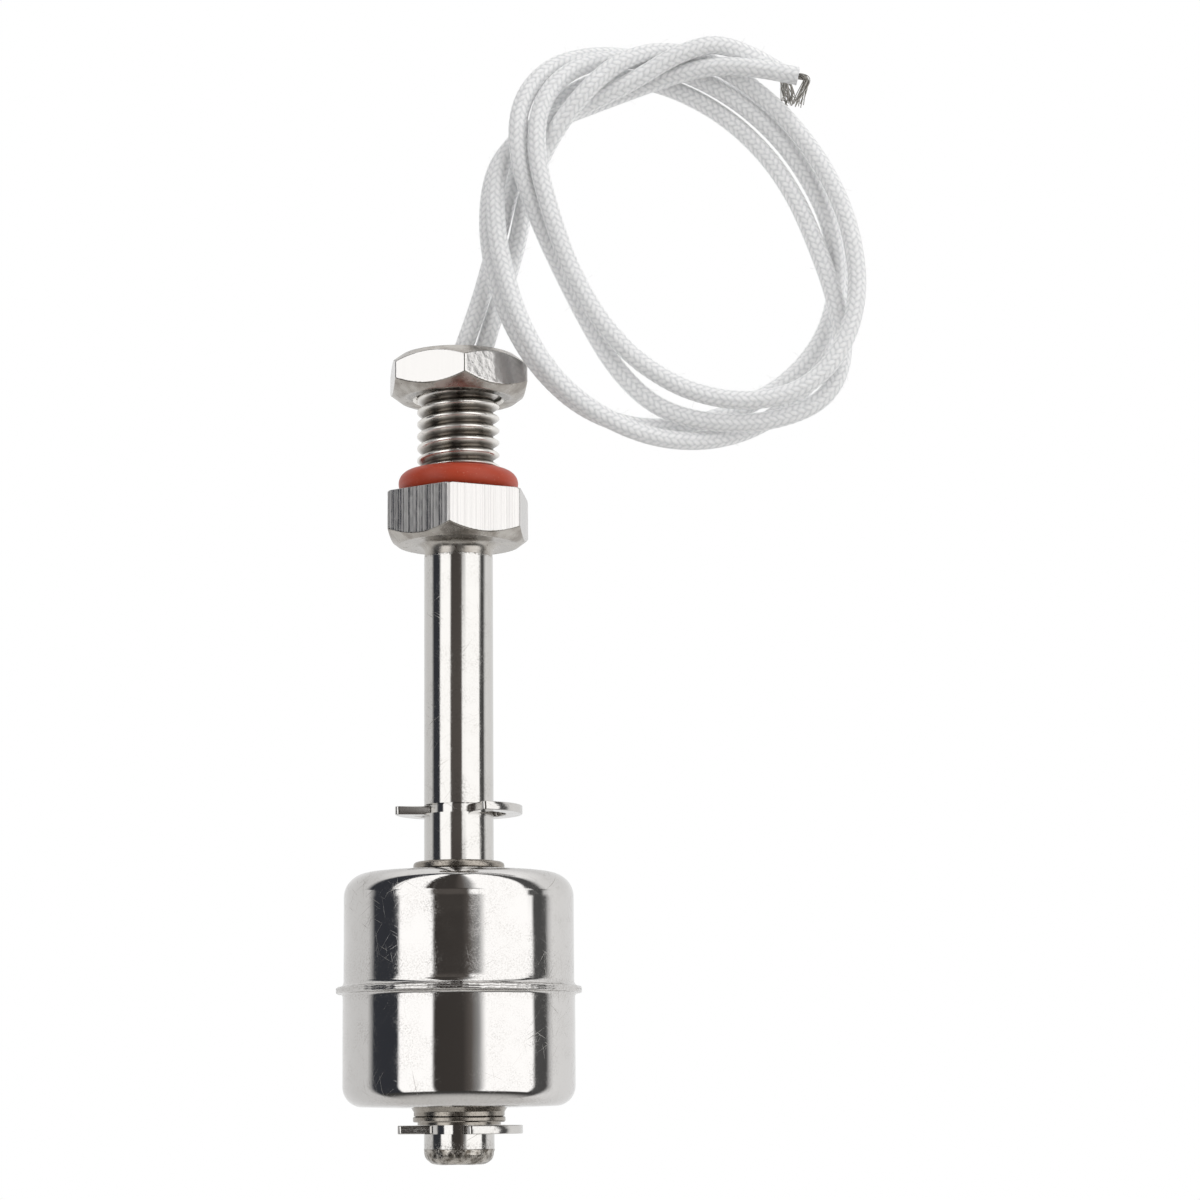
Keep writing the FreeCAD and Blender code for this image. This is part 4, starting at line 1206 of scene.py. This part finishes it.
# and a wide soft light overhead, behind the switch
overhead = addNode(sky, "ShaderNodeMapRange", {"interpolation_type": "SMOOTHSTEP"}, {
    "Value": elevation, "From Min": math.radians(studio["overheadFrom"]),
    "From Max": math.radians(studio["overheadTo"]), "To Min": 0.0, "To Max": studio["overheadGain"]})
behind = addNode(sky, "ShaderNodeMath", {"operation": "SUBTRACT"}, {0: 1.0, 1: front})
strength = addNode(sky, "ShaderNodeMath", {"operation": "MULTIPLY_ADD"}, {
    0: overhead, 1: behind, 2: studio["brightness"]})
lit = addNode(sky, "ShaderNodeVectorMath", {"operation": "SCALE"}, {0: seen, "Scale": strength})
lightPath = addNode(sky, "ShaderNodeLightPath").outputs
shown = addNode(sky, "ShaderNodeMix", {"data_type": "RGBA"}, {
    "Factor": lightPath["Is Camera Ray"], "A": lit, "B": (1, 1, 1, 1)}).outputs[2]
glow = addNode(sky, "ShaderNodeBackground", None, {"Color": shown, "Strength": 1.0})
addNode(sky, "ShaderNodeOutputWorld", None, {"Surface": glow})

# a pale round floor well under the hanging switch, thinning out into the white at its rim
floorMaterial, floorTree = newMaterial("paleFloor")
floorPlace = addNode(floorTree, "ShaderNodeTexCoord").outputs["Object"]
floorAway = addNode(floorTree, "ShaderNodeVectorMath", {"operation": "LENGTH"}, {
    0: floorPlace}).outputs["Value"]
floorThin = addNode(floorTree, "ShaderNodeMapRange", {"interpolation_type": "SMOOTHSTEP"}, {
    "Value": floorAway, "From Min": studio["floorFade"] * studio["floorRadius"] * mm,
    "From Max": studio["floorRadius"] * mm, "To Min": 1.0, "To Max": 0.0})
finishMaterial(floorTree, {"Base Color": hexColour(studio["floorHex"]), "Roughness": 0.8, "Alpha": floorThin})
floorBm = bmesh.new()
bmesh.ops.create_circle(floorBm, cap_ends=True, segments=96, radius=studio["floorRadius"] * mm)
floor = bpy.data.objects.new("floor", meshFrom(floorBm, "floor"))
bpy.context.scene.collection.objects.link(floor)
floor.location.z = studio["floorZ"] * mm
floor.data.materials.append(floorMaterial)

camera = bpy.data.objects.new("camera", bpy.data.cameras.new("camera"))
bpy.context.scene.collection.objects.link(camera)
camera.location = [value * mm for value in studio["cameraAt"]]
camera.rotation_mode = "ZXY"
camera.rotation_euler = (math.radians(90 + studio["tilt"]), 0, math.radians(studio["roll"]))
camera.data.lens = studio["lens"]
camera.data.sensor_width = studio["sensor"]
camera.data.shift_y = studio["rise"]
camera.data.clip_start = 0.01
camera.data.clip_end = 20
bpy.context.scene.camera = camera
bpy.context.scene.view_settings.view_transform = "Standard"
print("studio set")
